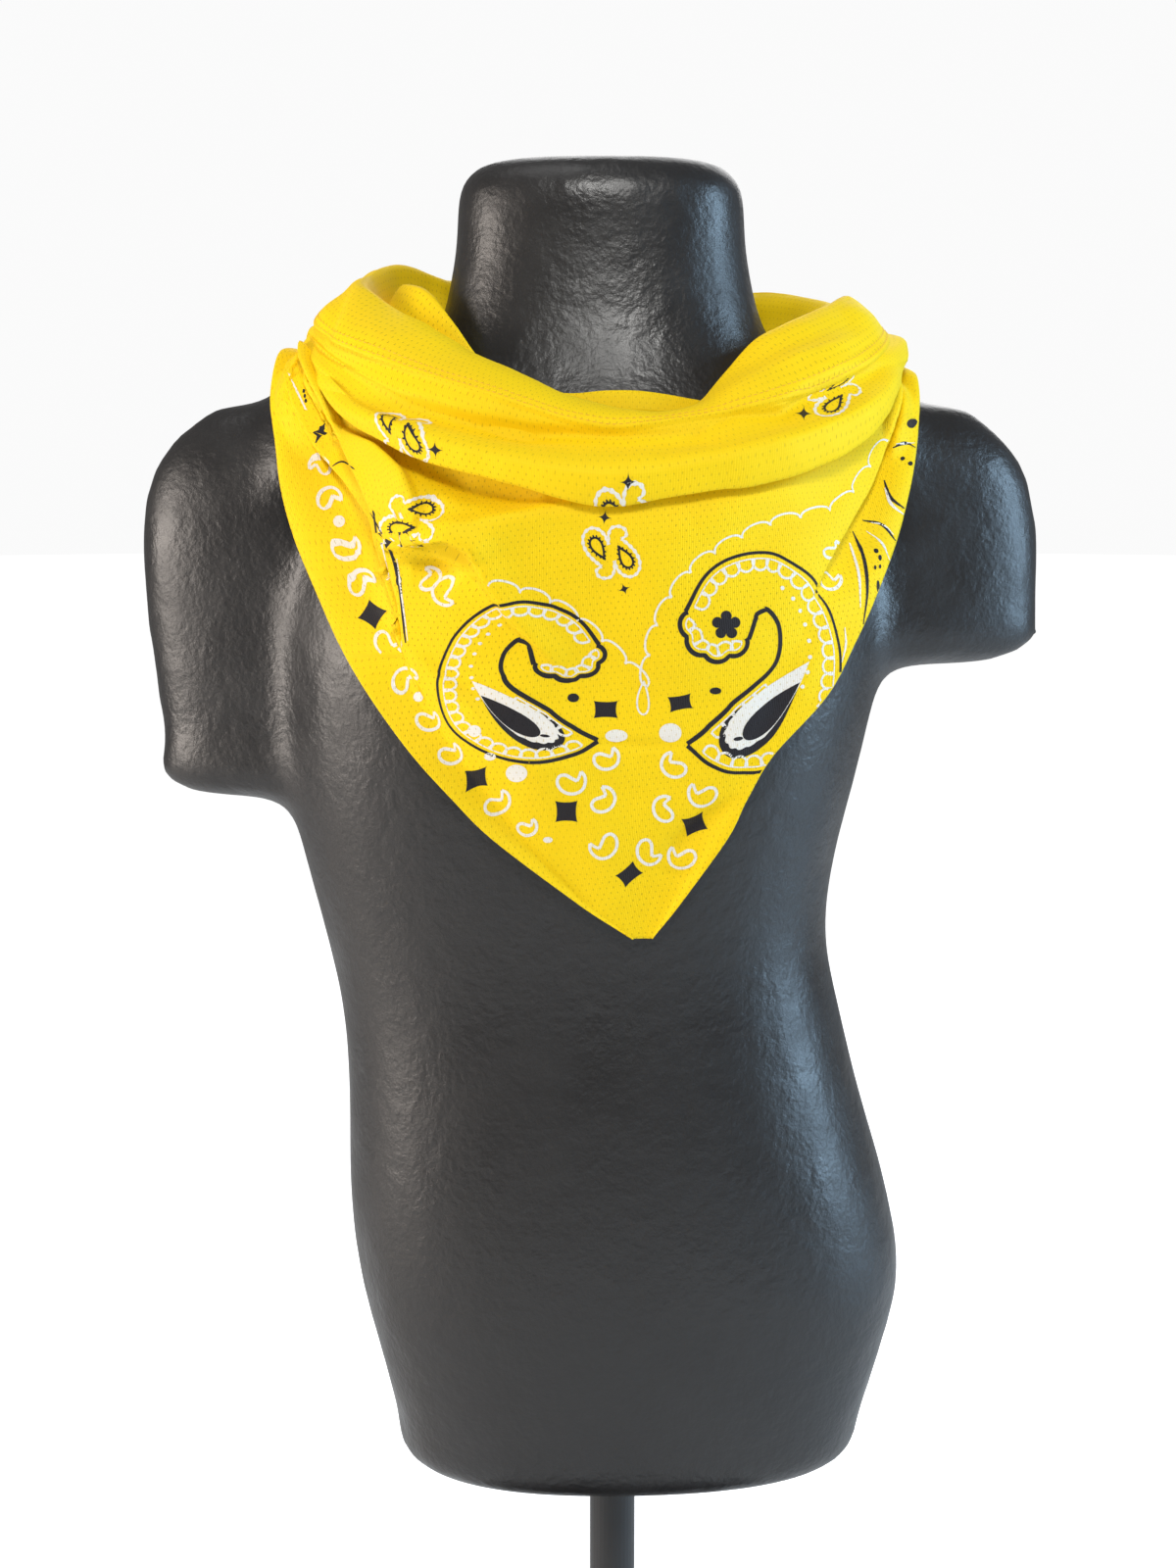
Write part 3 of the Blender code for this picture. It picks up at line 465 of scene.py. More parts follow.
class Cloth:
    """A sheet of cloth from a grid of points, and the same places on the cloth when it is laid flat."""

    def __init__(self, name, grid, flat, material, keep=None):
        rows, columns = grid.shape[:2]
        keep = np.ones((rows - 1, columns - 1), bool) if keep is None else keep
        r, c = np.nonzero(keep)
        corner = r * columns + c
        quads = np.stack([corner, corner + columns, corner + columns + 1, corner + 1], axis=1)
        used, compact = np.unique(quads, return_inverse=True)
        quads = compact.reshape(-1, 4)
        self.grid, self.flat_grid, self.field = grid, flat, normals_of(grid)
        self.points, self.flat = grid.reshape(-1, 3)[used], flat.reshape(-1, 2)[used]
        self.normals = self.field.reshape(-1, 3)[used]
        self.corners = np.concatenate([quads[:, [0, 1, 2]], quads[:, [0, 2, 3]]])
        self.trees = None
        self.object = mesh_object(name, self.points, quads, self.flat, material)
        solid = self.object.modifiers.new("cloth", "SOLIDIFY")
        solid.thickness = THICKNESS * MM
        solid.offset = -1

    def search(self):
        """Search trees over the worn cloth and over the flat one."""
        if not self.trees:
            flat = np.column_stack([self.flat, np.zeros(len(self.flat))])
            torn = longest_sides(self.flat, self.corners) > TORN
            whole = np.where(torn[:, None], self.corners[:, :1], self.corners)
            self.trees = [
                BVHTree.FromPolygons(self.points.tolist(), self.corners.tolist()),
                BVHTree.FromPolygons(flat.tolist(), whole.tolist()),
            ]
        return self.trees

    def shares(self, places, triangle, points):
        """How much each corner of a triangle counts at a place, where the cloth's points are given."""
        corners = points[self.corners[triangle]]
        a, b = corners[:, 1] - corners[:, 0], corners[:, 2] - corners[:, 0]
        p = places - corners[:, 0]
        aa, ab, bb = (a * a).sum(1), (a * b).sum(1), (b * b).sum(1)
        pa, pb = (p * a).sum(1), (p * b).sum(1)
        whole = np.maximum(aa * bb - ab * ab, 1e-12)
        second, third = (bb * pa - ab * pb) / whole, (aa * pb - ab * pa) / whole
        return np.stack([1 - second - third, second, third], axis=-1)

    def worn(self, places):
        """Points and normals of the worn cloth at flat places, and which of the places are on the cloth."""
        tree = self.search()[1]
        hits = [tree.ray_cast(Vector((u, v, 1)), Vector((0, 0, -1)))[2] for u, v in places]
        found = np.array([hit is not None for hit in hits])
        triangle = np.array([hit or 0 for hit in hits])
        share = self.shares(places, triangle, self.flat)[..., None]
        points, normals = ((x[self.corners[triangle]] * share).sum(1) for x in (self.points, self.normals))
        return points, unit(normals), found

    def seen(self, pixels):
        """Flat places that the camera sees at pixels of the front picture. It is NaN where it sees none."""
        places = np.full((len(pixels), 2), np.nan)
        for i, way in enumerate(sight(np.asarray(pixels, float))):
            hit, _, triangle, _ = self.search()[0].ray_cast(Vector(EYE), Vector(way))
            if hit is not None:
                share = self.shares(np.array([hit]), np.array([triangle]), self.points)[0]
                places[i] = share @ self.flat[self.corners[triangle]]
        return places


def longest_sides(points, faces):
    sides = points[faces] - points[np.roll(faces, 1, axis=1)]
    return np.linalg.norm(sides, axis=-1).max(axis=1)


def linked(name, data):
    """An object of some data, in the scene."""
    made = bpy.data.objects.new(name, data)
    bpy.context.scene.collection.objects.link(made)
    return made


def smooth_object(name, mesh, material):
    mesh.shade_smooth()
    mesh.materials.append(material)
    return linked(name, mesh)


def mesh_object(name, points, faces, flat, material, normals=None):
    """An object with a texture place for each point, which is in metres on the flat cloth."""
    faces = np.asarray(faces)
    mesh = bpy.data.meshes.new(name)
    mesh.vertices.add(len(points))
    mesh.vertices.foreach_set("co", (points * MM).ravel())
    mesh.loops.add(faces.size)
    mesh.loops.foreach_set("vertex_index", faces.ravel())
    mesh.polygons.add(len(faces))
    mesh.polygons.foreach_set("loop_start", np.arange(0, faces.size, faces.shape[1]))
    mesh.polygons.foreach_set("loop_total", np.full(len(faces), faces.shape[1]))
    mesh.update(calc_edges=True)
    mesh.uv_layers.new(name="knit").data.foreach_set("uv", (flat * MM)[faces.ravel()].ravel())
    made = smooth_object(name, mesh, material)
    if normals is not None:
        mesh.normals_split_custom_set_from_vertices(normals.tolist())
    return made


def plain_object(name, points, faces, material):
    mesh = bpy.data.meshes.new(name)
    mesh.from_pydata((np.asarray(points) * MM).tolist(), [], faces)
    return smooth_object(name, mesh, material)


# ---------------------------------------------------------------- the form and its stand


def full_turn(count):
    return np.linspace(0, 2 * np.pi, count, endpoint=False)


def ring_loft(rings):
    """The points and faces of a closed solid through rings with as many points each."""
    rings = np.asarray(rings)
    levels, around = rings.shape[:2]
    faces = []
    for low in range(0, (levels - 1) * around, around):
        for i in range(around):
            after = (i + 1) % around
            faces.append((low + i, low + after, low + around + after, low + around + i))
    faces.append(tuple(reversed(range(around))))
    faces.append(tuple((levels - 1) * around + i for i in range(around)))
    return rings.reshape(-1, 3), faces


def oval_ring(left, right, front, back, up, fullness):
    across, forward = np.cos(full_turn(RING_POINTS)), np.sin(full_turn(RING_POINTS))
    across, forward = (np.sign(x) * np.abs(x) ** (2 / fullness) for x in (across, forward))
    x = np.where(across > 0, across * right, -across * left)
    y = np.where(forward > 0, forward * -back, forward * front)
    return np.stack([x + FORM_CENTRE_ACROSS, y, np.full(len(x), up)], axis=-1)


def trunk_solid():
    ups = np.linspace(TRUNK[0][0], TRUNK[-1][0], TRUNK_LEVELS)
    sections = smooth_rows(TRUNK, ups)
    return ring_loft([oval_ring(*row, up, TRUNK_FULLNESS) for row, up in zip(sections, ups, strict=True)])


def stump_solid(rows):
    ups = np.linspace(rows[0][0], rows[-1][0], STUMP_LEVELS)
    rings = [
        oval_ring(middle - width, middle + width, depth, -depth, up, STUMP_FULLNESS)
        for (middle, width, depth), up in zip(smooth_rows(rows, ups), ups, strict=True)
    ]
    return ring_loft(rings)


def yoke_solid(rows):
    places = np.linspace(rows[0][0], rows[-1][0], YOKE_PLACES)
    turn = full_turn(YOKE_POINTS)
    rings = []
    for across, (up, radius) in zip(places, smooth_rows(rows, places), strict=True):
        x = np.full(len(turn), across + FORM_CENTRE_ACROSS)
        rings.append(np.stack([x, YOKE_BACK - radius * np.sin(turn), up + radius * np.cos(turn)], axis=-1))
    points, faces = ring_loft(rings)
    return points, [tuple(reversed(face)) for face in faces]


def build_form(material):
    points, faces = [], []
    solids = [trunk_solid(), stump_solid(LEFT_STUMP), stump_solid(RIGHT_STUMP)]
    solids += [yoke_solid(LEFT_YOKE), yoke_solid(RIGHT_YOKE)]
    for solid_points, solid_faces in solids:
        start = sum(len(p) for p in points)
        points.append(solid_points)
        faces += [[i + start for i in face] for face in solid_faces]
    form = plain_object("form_skin", np.concatenate(points), faces, material)
    remesh = form.modifiers.new("one skin", "REMESH")
    remesh.mode = "VOXEL"
    remesh.voxel_size = FORM_VOXEL * MM
    remesh.use_smooth_shade = True
    settle = form.modifiers.new("soften", "SMOOTH")
    settle.factor = 0.5
    settle.iterations = FORM_SMOOTHING
    return form


def lift_off(points, tree, clearance):
    """Moves points that are nearer to the form than `clearance` out to that distance."""
    lifted = points.reshape(-1, 3).copy()
    needed = np.broadcast_to(clearance, points.shape[:-1]).ravel()
    for i, point in enumerate(lifted):
        near, normal, _, _ = tree.find_nearest(Vector(point * MM))
        height = (Vector(point * MM) - near).dot(normal) / MM
        if height < needed[i]:
            lifted[i] = point + np.array(normal) * (needed[i] - height)
    return lifted.reshape(points.shape)


# ---------------------------------------------------------------- the cloth


def arc(centre, height, radius, start, end, count):
    """Places along a half turn of cloth: across and height. The angle is 0 to the right and 90 up."""
    turn = np.radians(np.linspace(start, end, count))
    return np.stack([centre + radius * np.cos(turn), height + radius * np.sin(turn)], axis=-1)


def run(start, end, height, count, from_hem=False):
    """A straight stretch at a height. From a hem it starts at no height, and sinks to its own on its way."""
    rise = smooth_step(np.linspace(0, 1, count), 0, HEM_SINKS) if from_hem else np.ones(count)
    return np.stack([np.linspace(start, end, count), height * rise], axis=-1)


def fading(level, start, end):
    return np.clip((end - level) / (end - start), 0, 1)


def opened(fade):
    """How thick a fold is, from 1 where it is whole to 0 where it has opened out."""
    return smooth_step(fade, *FOLD_OPENS)


def closed(fade):
    """How much of a fold's cloth lies folded, from 1 to 0 where it has spread out flat."""
    return smooth_step(fade, *FOLD_SPREADS)


def left_height(level):
    """How thick the left folds are at a level, from 0 to 1."""
    thins = np.interp(level, *zip(*LEFT_FOLD_THINS, strict=True))
    return opened(fading(level, LEFT_FOLD_FADES, LEFT_FOLD_ENDS)) * thins


def base_cape(levels, across):
    table = np.array(CAPE, float)
    lines = smooth_rows(np.column_stack([np.arange(len(table)), table.reshape(len(table), -1)]), levels)
    return np.stack([round_neck(*between_lines(row.reshape(6, 3), across).T) for row in lines])


def even_levels(spacing):
    """Rows down the cape that are about `spacing` apart wherever it is longest."""
    fine = np.linspace(0, len(CAPE) - 1, 1200)
    lines = base_cape(fine, np.array([0.0, 1.0, 2.0, 4.0, 5.0]))
    speed = np.linalg.norm(np.diff(lines, axis=0), axis=-1).max(axis=1)
    place = summed(speed * np.interp(fine[1:], *zip(*CAPE_DENSITY, strict=True)))
    return np.interp(np.linspace(0, place[-1], round(place[-1] / spacing)), place, fine)


def edge_width(strip):
    """How much of a strip's width its opened fold takes up."""
    return min(WIDEST_EDGE, EDGE_SHARE * max(strip, LEAST_STRIP))


def left_fold(edge_at, reach, bottom, wide, part):
    """A fold whose edge looks left: its lower layer turns back out of sight, and rolls over at the edge. Each
    piece has its way when folded, where it starts and ends when spread out, and its part of the cloth."""
    under = bottom + 2 * HIDDEN_ROLL
    back = edge_at + reach
    turn = arc(back, bottom + HIDDEN_ROLL, HIDDEN_ROLL, -90, 90, TURN_ROWS)
    roll = arc(edge_at + EDGE_ROLL, under + EDGE_ROLL, EDGE_ROLL, 270, 90, ROLL_ROWS)
    return [
        (turn, edge_at - 0.9 * wide, edge_at - 0.4 * wide, part),
        (run(back - NEXT, edge_at + EDGE_ROLL + NEAR, under, 4), edge_at - 0.3 * wide, edge_at, part + 1),
        (roll, edge_at + 0.1 * wide, edge_at + wide, part + 1),
    ]


def right_fold(edge_at, reach, wide):
    """The panel's fold on the right, whose edge looks right."""
    edge, under, back = RIGHT_EDGE_ROLL, -2 * RIGHT_EDGE_ROLL, edge_at - reach
    roll = arc(edge_at - edge, -edge, edge, 90, -90, ROLL_ROWS)
    turn = arc(back, under - HIDDEN_ROLL, HIDDEN_ROLL, 90, 270, TURN_ROWS)
    return [
        (roll, edge_at - wide, edge_at - 0.1 * wide, PANEL),
        (run(edge_at - edge - NEAR, back + NEXT, under, 4), edge_at, edge_at + 0.3 * wide, PANEL),
        (turn, edge_at + 0.4 * wide, edge_at + 0.9 * wide, PANEL + 1),
    ]


def fold_path(lines, level, reach_scale):
    """The cloth's way across one level, as places across in millimetres and heights over the panel.

    `lines` holds how far across each of the six lines lies. A fold turns under at its edge in a soft roll and
    turns back in a tight one, out of sight. Where it dies away, the same cloth spreads out flat. The parts
    are 0 wing, 1 pleat, 2 panel and 3 right wing.
    """
    hem_l, fold_b, fold_a, _, fold_r, hem_r = lines
    left = fading(level, LEFT_FOLD_FADES, LEFT_FOLD_ENDS)
    right = fading(level, RIGHT_FOLD_FADES, RIGHT_FOLD_ENDS)
    shut, shut_r = closed(left), closed(right)
    pleat = -2 * (EDGE_ROLL + HIDDEN_ROLL)
    wing, right_wing = 2 * pleat, -2 * (RIGHT_EDGE_ROLL + HIDDEN_ROLL)
    reach_b = min(FOLD_REACH, FOLD_REACH_SHARE * (fold_a - fold_b)) * shut * reach_scale
    reach_a = FOLD_REACH * shut * reach_scale
    reach_r = min(FOLD_REACH, FOLD_REACH_SHARE * (hem_r - fold_r) + RIGHT_REACH_MORE) * shut_r * reach_scale
    wide = min(edge_width(fold_a - fold_b), edge_width(fold_b - hem_l))
    wide_r = edge_width(hem_r - fold_r)
    left_hem = run(hem_l, fold_b + reach_b - NEAR, wing, HEM_COLUMNS, True)
    right_hem = run(hem_r, fold_r - reach_r + NEAR, right_wing, HEM_COLUMNS, True)[::-1]
    middle = run(fold_a + EDGE_ROLL + PAST, fold_r - RIGHT_EDGE_ROLL - PAST, 0, PANEL_COLUMNS)
    pleat_way = run(fold_b + EDGE_ROLL + PAST, fold_a + reach_a - NEAR, pleat, PLEAT_COLUMNS)
    left_pieces = [
        (left_hem, hem_l, fold_b - wide, PANEL - 2),
        *left_fold(fold_b, reach_b, wing, wide, PANEL - 2),
        (pleat_way, fold_b + 1.3 * wide, fold_a - wide, PANEL - 1),
        *left_fold(fold_a, reach_a, pleat, wide, PANEL - 1),
    ]
    panel = [(middle, fold_a + 1.3 * wide, fold_r - 1.3 * wide_r, PANEL)]
    right_pieces = [*right_fold(fold_r, reach_r, wide_r), (right_hem, fold_r + wide_r, hem_r, PANEL + 1)]
    path, parts = [], []
    for pieces, shut_from, shut_to, tall in (
        (left_pieces, shut, shut, left_height(level)),
        (panel, shut, shut_r, 0),
        (right_pieces, shut_r, shut_r, opened(right)),
    ):
        for folded, start, end, part in pieces:
            count = len(folded)
            share = np.linspace(shut_from, shut_to, count)
            across = folded[:, 0] * share + np.linspace(start, end, count) * (1 - share)
            path.append(np.stack([across, folded[:, 1] * tall], axis=-1))
            parts += [part] * count
    return np.concatenate(path), np.array(parts)


def cape_base(levels, across, tree):
    """The cape's surface, as if it had no layers: sunk under its folds, clear of the form and creased."""
    left = opened(fading(levels, LEFT_FOLD_FADES, LEFT_FOLD_ENDS))
    right = opened(fading(levels, RIGHT_FOLD_FADES, RIGHT_FOLD_ENDS))
    depth = 4 * (EDGE_ROLL + HIDDEN_ROLL) * left_height(levels)[:, None] * plateau(across, *LEFT_SUNK)
    depth += 2 * (RIGHT_EDGE_ROLL + HIDDEN_ROLL) * right[:, None] * plateau(across, *RIGHT_SUNK)
    above = CLEARANCE + THICKNESS + depth
    base = lift_off(base_cape(levels, across), tree, above)
    in_front = 1 - smooth_step(np.abs(angle_of(base)), *CAPE_FOLDS_FADE)
    on_panel = np.maximum(smooth_step(across, *PANEL_EDGE)[None, :], 1 - left[:, None])
    lift = folds_on(base, PANEL_FOLDS) * in_front * on_panel
    lift = lift + plateau(across, *INWARD) * sum(waves(base, *each) for each in CAPE_WAVES)
    return lift_off(base + even(normals_of(base), 2) * lift[..., None], tree, above)


def build_cape(tree, material):
    levels = even_levels(CAPE_ROW_GAP)
    across = np.concatenate([np.linspace(*span, endpoint=span[1] == 5) for span in CAPE_COLUMNS])
    base = cape_base(levels, across, tree)
    normal = even(normals_of(base), 3)
    place = summed(np.linalg.norm(np.diff(base, axis=1), axis=-1), axis=1)
    middle = np.argmin(np.abs(across - MIDDLE_LINE))
    sideways = np.diff(place - place[:, middle : middle + 1], axis=0)
    drop = np.linalg.norm(np.diff(base, axis=0), axis=-1)
    down = summed(np.sqrt(np.maximum(drop**2 - sideways**2, (LEAST_DROP * drop) ** 2)))
    height = down[-1:] - down
    grid, flat, keep = [], [], []
    for k, level in enumerate(levels):
        lines = np.interp(range(6), across, place[k])
        path, part = fold_path(lines, level, smooth_step(level, *FOLD_REACH_GROWS))
        at = path[:, 0]
        points = along(at, place[k], base[k]) + along(at, place[k], normal[k]) * path[:, 1:]
        way = distances(points)
        centre = np.interp(lines[MIDDLE_LINE], at[part == PANEL][20:-20], way[part == PANEL][20:-20])
        # The hidden turns take up more cloth at some levels than at others, so the left wing lies flat apart.
        apart = (part == 0) & (level < LEFT_FOLD_ENDS)
        across_flat = way - np.where(apart, WING_APART, centre)
        grid.append(points)
        flat.append(np.stack([across_flat, np.interp(at, place[k], height[k])], axis=-1))
        keep.append((part != PANEL) | (level > PANEL_STARTS))
    keep = np.stack(keep)
    keep = keep[1:, 1:] & keep[:-1, :-1] & keep[1:, :-1] & keep[:-1, 1:]
    return Cloth("cape", np.stack(grid), np.stack(flat), material, keep)


def section_grid(lines, angles, per_span, step_after=None):
    """A grid over named lines: its rows run along the section, and each column is one angle. A span can start
    with two rows close together, for a sharp step."""
    stations = np.stack([smooth_rows(line, angles) for line in lines.values()])
    counts = np.broadcast_to(per_span, len(lines) - 1)
    columns = []
    for angle, column in zip(angles, np.moveaxis(stations, 1, 0), strict=True):
        place = distances(column)
        at = [np.linspace(a, b, n, endpoint=False) for a, b, n in zip(place, place[1:], counts, strict=False)]
        if step_after is not None:
            at[step_after][1] = at[step_after][0] + SHARP_STEP
        section = smooth_rows(np.column_stack([place, column]), np.append(np.concatenate(at), place[-1]))
        columns.append(round_neck(angle, section[:, 0], section[:, 1]))
    return np.stack(columns, axis=1)


def lengths_of(grid):
    """Places on the flat cloth that follow the worn cloth's own lengths."""
    u = summed(np.linalg.norm(np.diff(grid, axis=1), axis=-1).mean(axis=0))
    v = -summed(np.linalg.norm(np.diff(grid, axis=0), axis=-1).mean(axis=1))
    return np.stack(np.broadcast_arrays(u[None, :], v[:, None]), axis=-1)


def build_collar(tree, material):
    fine = np.linspace(*COLLAR_ENDS, 1200)
    place = np.cumsum(np.interp(fine, *zip(*COLLAR_DENSITY, strict=True)))
    angles = np.interp(np.linspace(place[0], place[-1], COLLAR_COLUMNS), place, fine)
    grid = section_grid(COLLAR_LINES, angles, COLLAR_ROWS, step_after=2)
    grid = lift_off(grid, tree, CLEARANCE + THICKNESS)
    rows, angle = np.arange(len(grid))[:, None], angles[None, :]
    in_front = 1 - smooth_step(np.abs(angle), *COLLAR_FOLDS_FADE)
    lift = folds_on(grid, COLLAR_FOLDS) * in_front
    # The top band's hem lies on the roll as a thin ledge, over a valley.
    hem, valley = sum(COLLAR_ROWS[:2]), sum(COLLAR_ROWS[:3])
    lift = lift + LEDGE * (rows <= hem) * smooth_step(rows - hem, *LEDGE_ROWS)
    hump = np.exp(-(((rows - valley) / VALLEY_ROWS) ** 2))
    lift = lift + VALLEY_RISE * hump * smooth_step(-angle, *VALLEY_ANGLES) * in_front
    # Behind the shoulders the cloth is gathered towards the knot.
    gather = smooth_step(np.abs(angle), *GATHER_ANGLES)
    for height, pitch, swing, sway, start, slant in GATHERS:
        wave = rows * pitch + swing * np.sin(angle / sway + start) + angle / slant
        lift = lift + gather * height * np.sin(wave)
    lift = lift + sum(waves(grid, *each) for each in COLLAR_WAVES)
    grid = grid + even(normals_of(grid), 2) * lift[..., None]
    return Cloth("collar", grid, lengths_of(grid), material), hem


def build_inner(tree, material):
    angles = np.linspace(INNER_LINES["top"][0][0], INNER_LINES["top"][-1][0], 120)
    grid = lift_off(section_grid(INNER_LINES, angles, 10), tree, CLEARANCE + THICKNESS)
    grid = grid + normals_of(grid) * waves(grid, *INNER_WAVE)[..., None]
    return Cloth("collar_inside", grid, lengths_of(grid), material)


def build_knot(material):
    """The tie: a ball of wrapped cloth, its folds running slantwise round it, and two pleated tails."""
    turn = np.linspace(0, 2 * np.pi, KNOT_COLUMNS)
    polar = np.linspace(KNOT_POLE, np.pi - KNOT_POLE, KNOT_ROWS)[:, None]
    wrap = 3 * turn + 7.5 * polar + 0.5 * np.sin(polar * 3)
    ridge = 1 + KNOT_RIDGE * (1 - 2 * np.abs(np.sin(wrap))) * np.sin(polar)
    ridge = ridge - KNOT_WAIST * np.cos(2 * (turn - KNOT_WAIST_AT)) ** 2
    half_width, half_depth, half_height = KNOT_HALF_SIZES
    x = half_width * np.sin(polar) * np.cos(turn) * ridge
    y = half_depth * np.sin(polar) * np.sin(turn) * ridge
    z = half_height * np.cos(polar) * (ridge * 0.3 + 0.7)
    grid = np.stack([x, y, z], axis=-1) + round_neck(180.0, KNOT_OUT, KNOT_UP)
    pieces = [Cloth("knot_ball", grid, lengths_of(grid), material)]
    down, share = np.linspace(0, 1, TAIL_ROWS), np.linspace(-1, 1, TAIL_COLUMNS)
    for name, side in (("tail_left_cloth", -1), ("tail_right_cloth", 1)):
        rows = []
        for t, (angle, out, up, half, ridge_height) in zip(down, smooth_rows(TAIL, down), strict=True):
            angles = side * angle + np.degrees(half / out) * share
            pleats = TAIL_PLEAT * (1 - t) ** 0.7 * np.cos(share * 9.0 + side * 0.6) * (1 - share**4)
            curl = TAIL_CURL * t * share**2
            rows.append(round_neck(angles, out + ridge_height * (1 - share**2) + pleats + curl, up))
        grid = np.stack(rows)
        pieces.append(Cloth(name, grid, lengths_of(grid), material))
    return pieces


# ---------------------------------------------------------------- the print

INK_LIFT = 0.12  # the print's film over the cloth
INK_STEP = 1.3
LONGEST_INK, OFF_CLOTH = 6.0, 1e5  # a longer side of a film's triangle, or a place with no cloth, is left out
TORN = 60.0  # a triangle longer than this when flat joins two stretches that are laid flat apart
LAYER_JUMP = 5.0  # a step this long under a line in the picture leads to another layer
LEAST_STRETCH, MOST_STRETCH, MOST_STEP = 0.85, 1.7, 2.5  # of a motif against its size in the picture
WARP_SOFTNESS, WARP_UNIT = 0.002, 100.0
BLACK_LINE, WHITE_LINE, COMMA_LINE, BEAD_LINE, RING_LINE = 2.2, 1.15, 1.55, 1.35, 1.0  # the lines' widths
VINE_LINE, VINE_DROP_LINE = 1.035, 0.8625
BEAD_DEPTH, BEAD_PITCH = 0.3, 6.5
TOOTH_PLACES, TOOTH_WIDTHS = np.array([[0.0], [1.6], [3.0]]), (0.9, 0.75, 0.5)
STAR_HOLLOW, DIAMOND_HOLLOW = 4.2, 2.5
ARCH_SPREAD, VINE_SPREAD = 0.56, 0.5

# Motifs lie on the flat cloth, in millimetres, and are worn with it. Most are placed under a pixel of the
# front picture, and their own sizes are in its pixels too. Angles are in degrees, anticlockwise there.

# A paisley is a band that widens from its tip and curls over into a round head. A row for each share of its
# spine: across, up, half its width.
SPINE = [
    (0.0, 0, 0, 1), (0.1, 25, -1, 20), (0.22, 60, 6, 38), (0.36, 101, 32, 43), (0.52, 124, 82, 33),
    (0.67, 117, 136, 27), (0.82, 82, 167, 29), (0.93, 45, 152, 33), (1.0, 31, 122, 35),
]
HEAD_LOBES, LOBE_DEPTH = 4, 0.16
FLOWER, FLOWER_PLACE, SEED_PLACE = (15, 5, 0.45), (40, 122), (52, 7)  # the flower's radius, petals and depth
# The white drop's bumps: share of its size, turn from point to point, and how far from its end they reach.
WHITE_POINTS, WHITE_BUMP, WHITE_BUMP_TURN, WHITE_BUMPS_REACH = 120, 0.045, 0.52, 46
# The rows of arches along its outer side, its head and its body: inset, pitch and height.
ARCHES = [(6.0, 16.5, 12), (6.0, 14.0, 10), (-6.0, 15.0, -10)]
SPINE_ROWS, HEAD_POINTS, CROOK_STARTS = 160, 60, 0.45
SPINE_DOTS, SPINE_DOT = slice(72, 128, 7), 2.2
# The three nested drops of its eye: tip, round end, width, how far the tip curls.
RIM_DROP = ((116, 66), (36, -6), 46, 0.22)
WHITE_DROP = ((124, 85), (43, 3), 37, 0.45)
HEART_DROP = ((115, 64), (58, 8), 23, 0.35)
# Each paisley: where its tip lies, -1 where it is mirrored, how wide and how tall it is worn, and its flower.
PAISLEYS = [(701, 760, 1, 1.0, 1.0, True), (610, 756, -1, 1.04, 0.72, False)]
PAISLEY_LATTICE = [(x, y) for x in (0, 40, 80, 120, 160) for y in (-40, 10, 60, 110, 160, 200)]

# A comma drop as long as 1, its tip at the upper right, from the tip round the body to the notch and back.
COMMA_BODY = [
    (0.34, 0.40), (0.47, 0.24), (0.49, 0.0), (0.38, -0.24), (0.14, -0.37), (-0.16, -0.36), (-0.40, -0.20),
    (-0.50, 0.04), (-0.42, 0.24), (-0.22, 0.28), (0.0, 0.17), (0.20, 0.07),
]
COMMA_NECK = [(0.20, 0.07), (0.27, 0.20), (0.34, 0.40)]
# Comma drops: across, down, turn, length, and -1 where it is mirrored.
PANEL_DROPS = [
    (583, 799, 0, 29, 1), (619, 775, 12, 26, 1), (616, 817, 48, 27, 1), (687, 782, -35, 27, -1),
    (677, 826, -72, 26, -1), (717, 812, 0, 29, -1), (617, 864, 38, 29, -1), (661, 870, -60, 27, 1),
    (696, 876, 0, 28, -1), (452, 604, -100, 27, 1), (440, 590, 60, 21, 1), (461, 769, 20, 26, 1),
    (508, 820, 25, 25, 1), (538, 845, 10, 20, 1), (846, 592, -20, 22, 1), (850, 562, 30, 19, 1),
    (412, 694, -125, 27, -1), (438, 735, 5, 26, 1),
]
WING_DROPS = [
    (327, 475, 150, 22, 1), (335, 508, -140, 25, -1), (353, 560, 0, 28, 1), (368, 594, -130, 28, -1),
    (395, 657, -40, 28, 1),
]
FOLDS_END = 424  # left of this pixel, motifs lie on the wing and its folds
WHITE_DOTS = [  # across, down, half width, half height
    (629, 751, 11.5, 6.5), (684, 748, 11.5, 10), (527, 789, 11, 9), (484, 746, 7, 6), (500, 772, 6, 4),
    (559, 857, 5, 3), (427, 711, 5, 5), (346, 532, 6, 6),
]
BLACK_DOTS = [(585, 712, 6, 4.5), (730, 705, 6, 3.5)]
DIAMONDS = [  # across, down, half width, half height, turn
    (618, 724, 12.5, 9, 0), (694, 717, 12, 8, 10), (578, 828, 11.5, 11, 0), (486, 794, 10.5, 9.5, 8),
    (642, 892, 12, 8, 40), (708, 840, 12, 10, 20), (380, 627, 11.5, 11, 58),
]
# Half of a medallion's white outline. The other half is the same, turned round.
MEDALLION_HALF = [
    [(-2.9, 8.3), (-7, 18), (-13, 23.5), (-21, 25), (-27.5, 20), (-29, 10.5), (-25, 0.5), (-17.5, -8),
     (-10, -14)],
    [(-10, -14), (-15, -18), (-14, -23), (-7, -26.8), (0.5, -24.5), (3, -18.5), (2.9, -8.3)],
]
MEDALLION_DROP = ((-13.7, 4.8), 23, 11.5, -59)  # place, length, width, way of the tip
MEDALLIONS = [(624, 564, 0), (420, 529, 62)]  # across, down, turn
COLLAR_MEDALLIONS = [(405, 437, -20, 0), (850, 400, -72, 0), (642, 508, 6, 17)]  # and how far below it lies
STARS = [(617, 528, 6.5, 82), (637, 601, 5.5, 20), (418, 551, 5, 10)]  # radius, turn
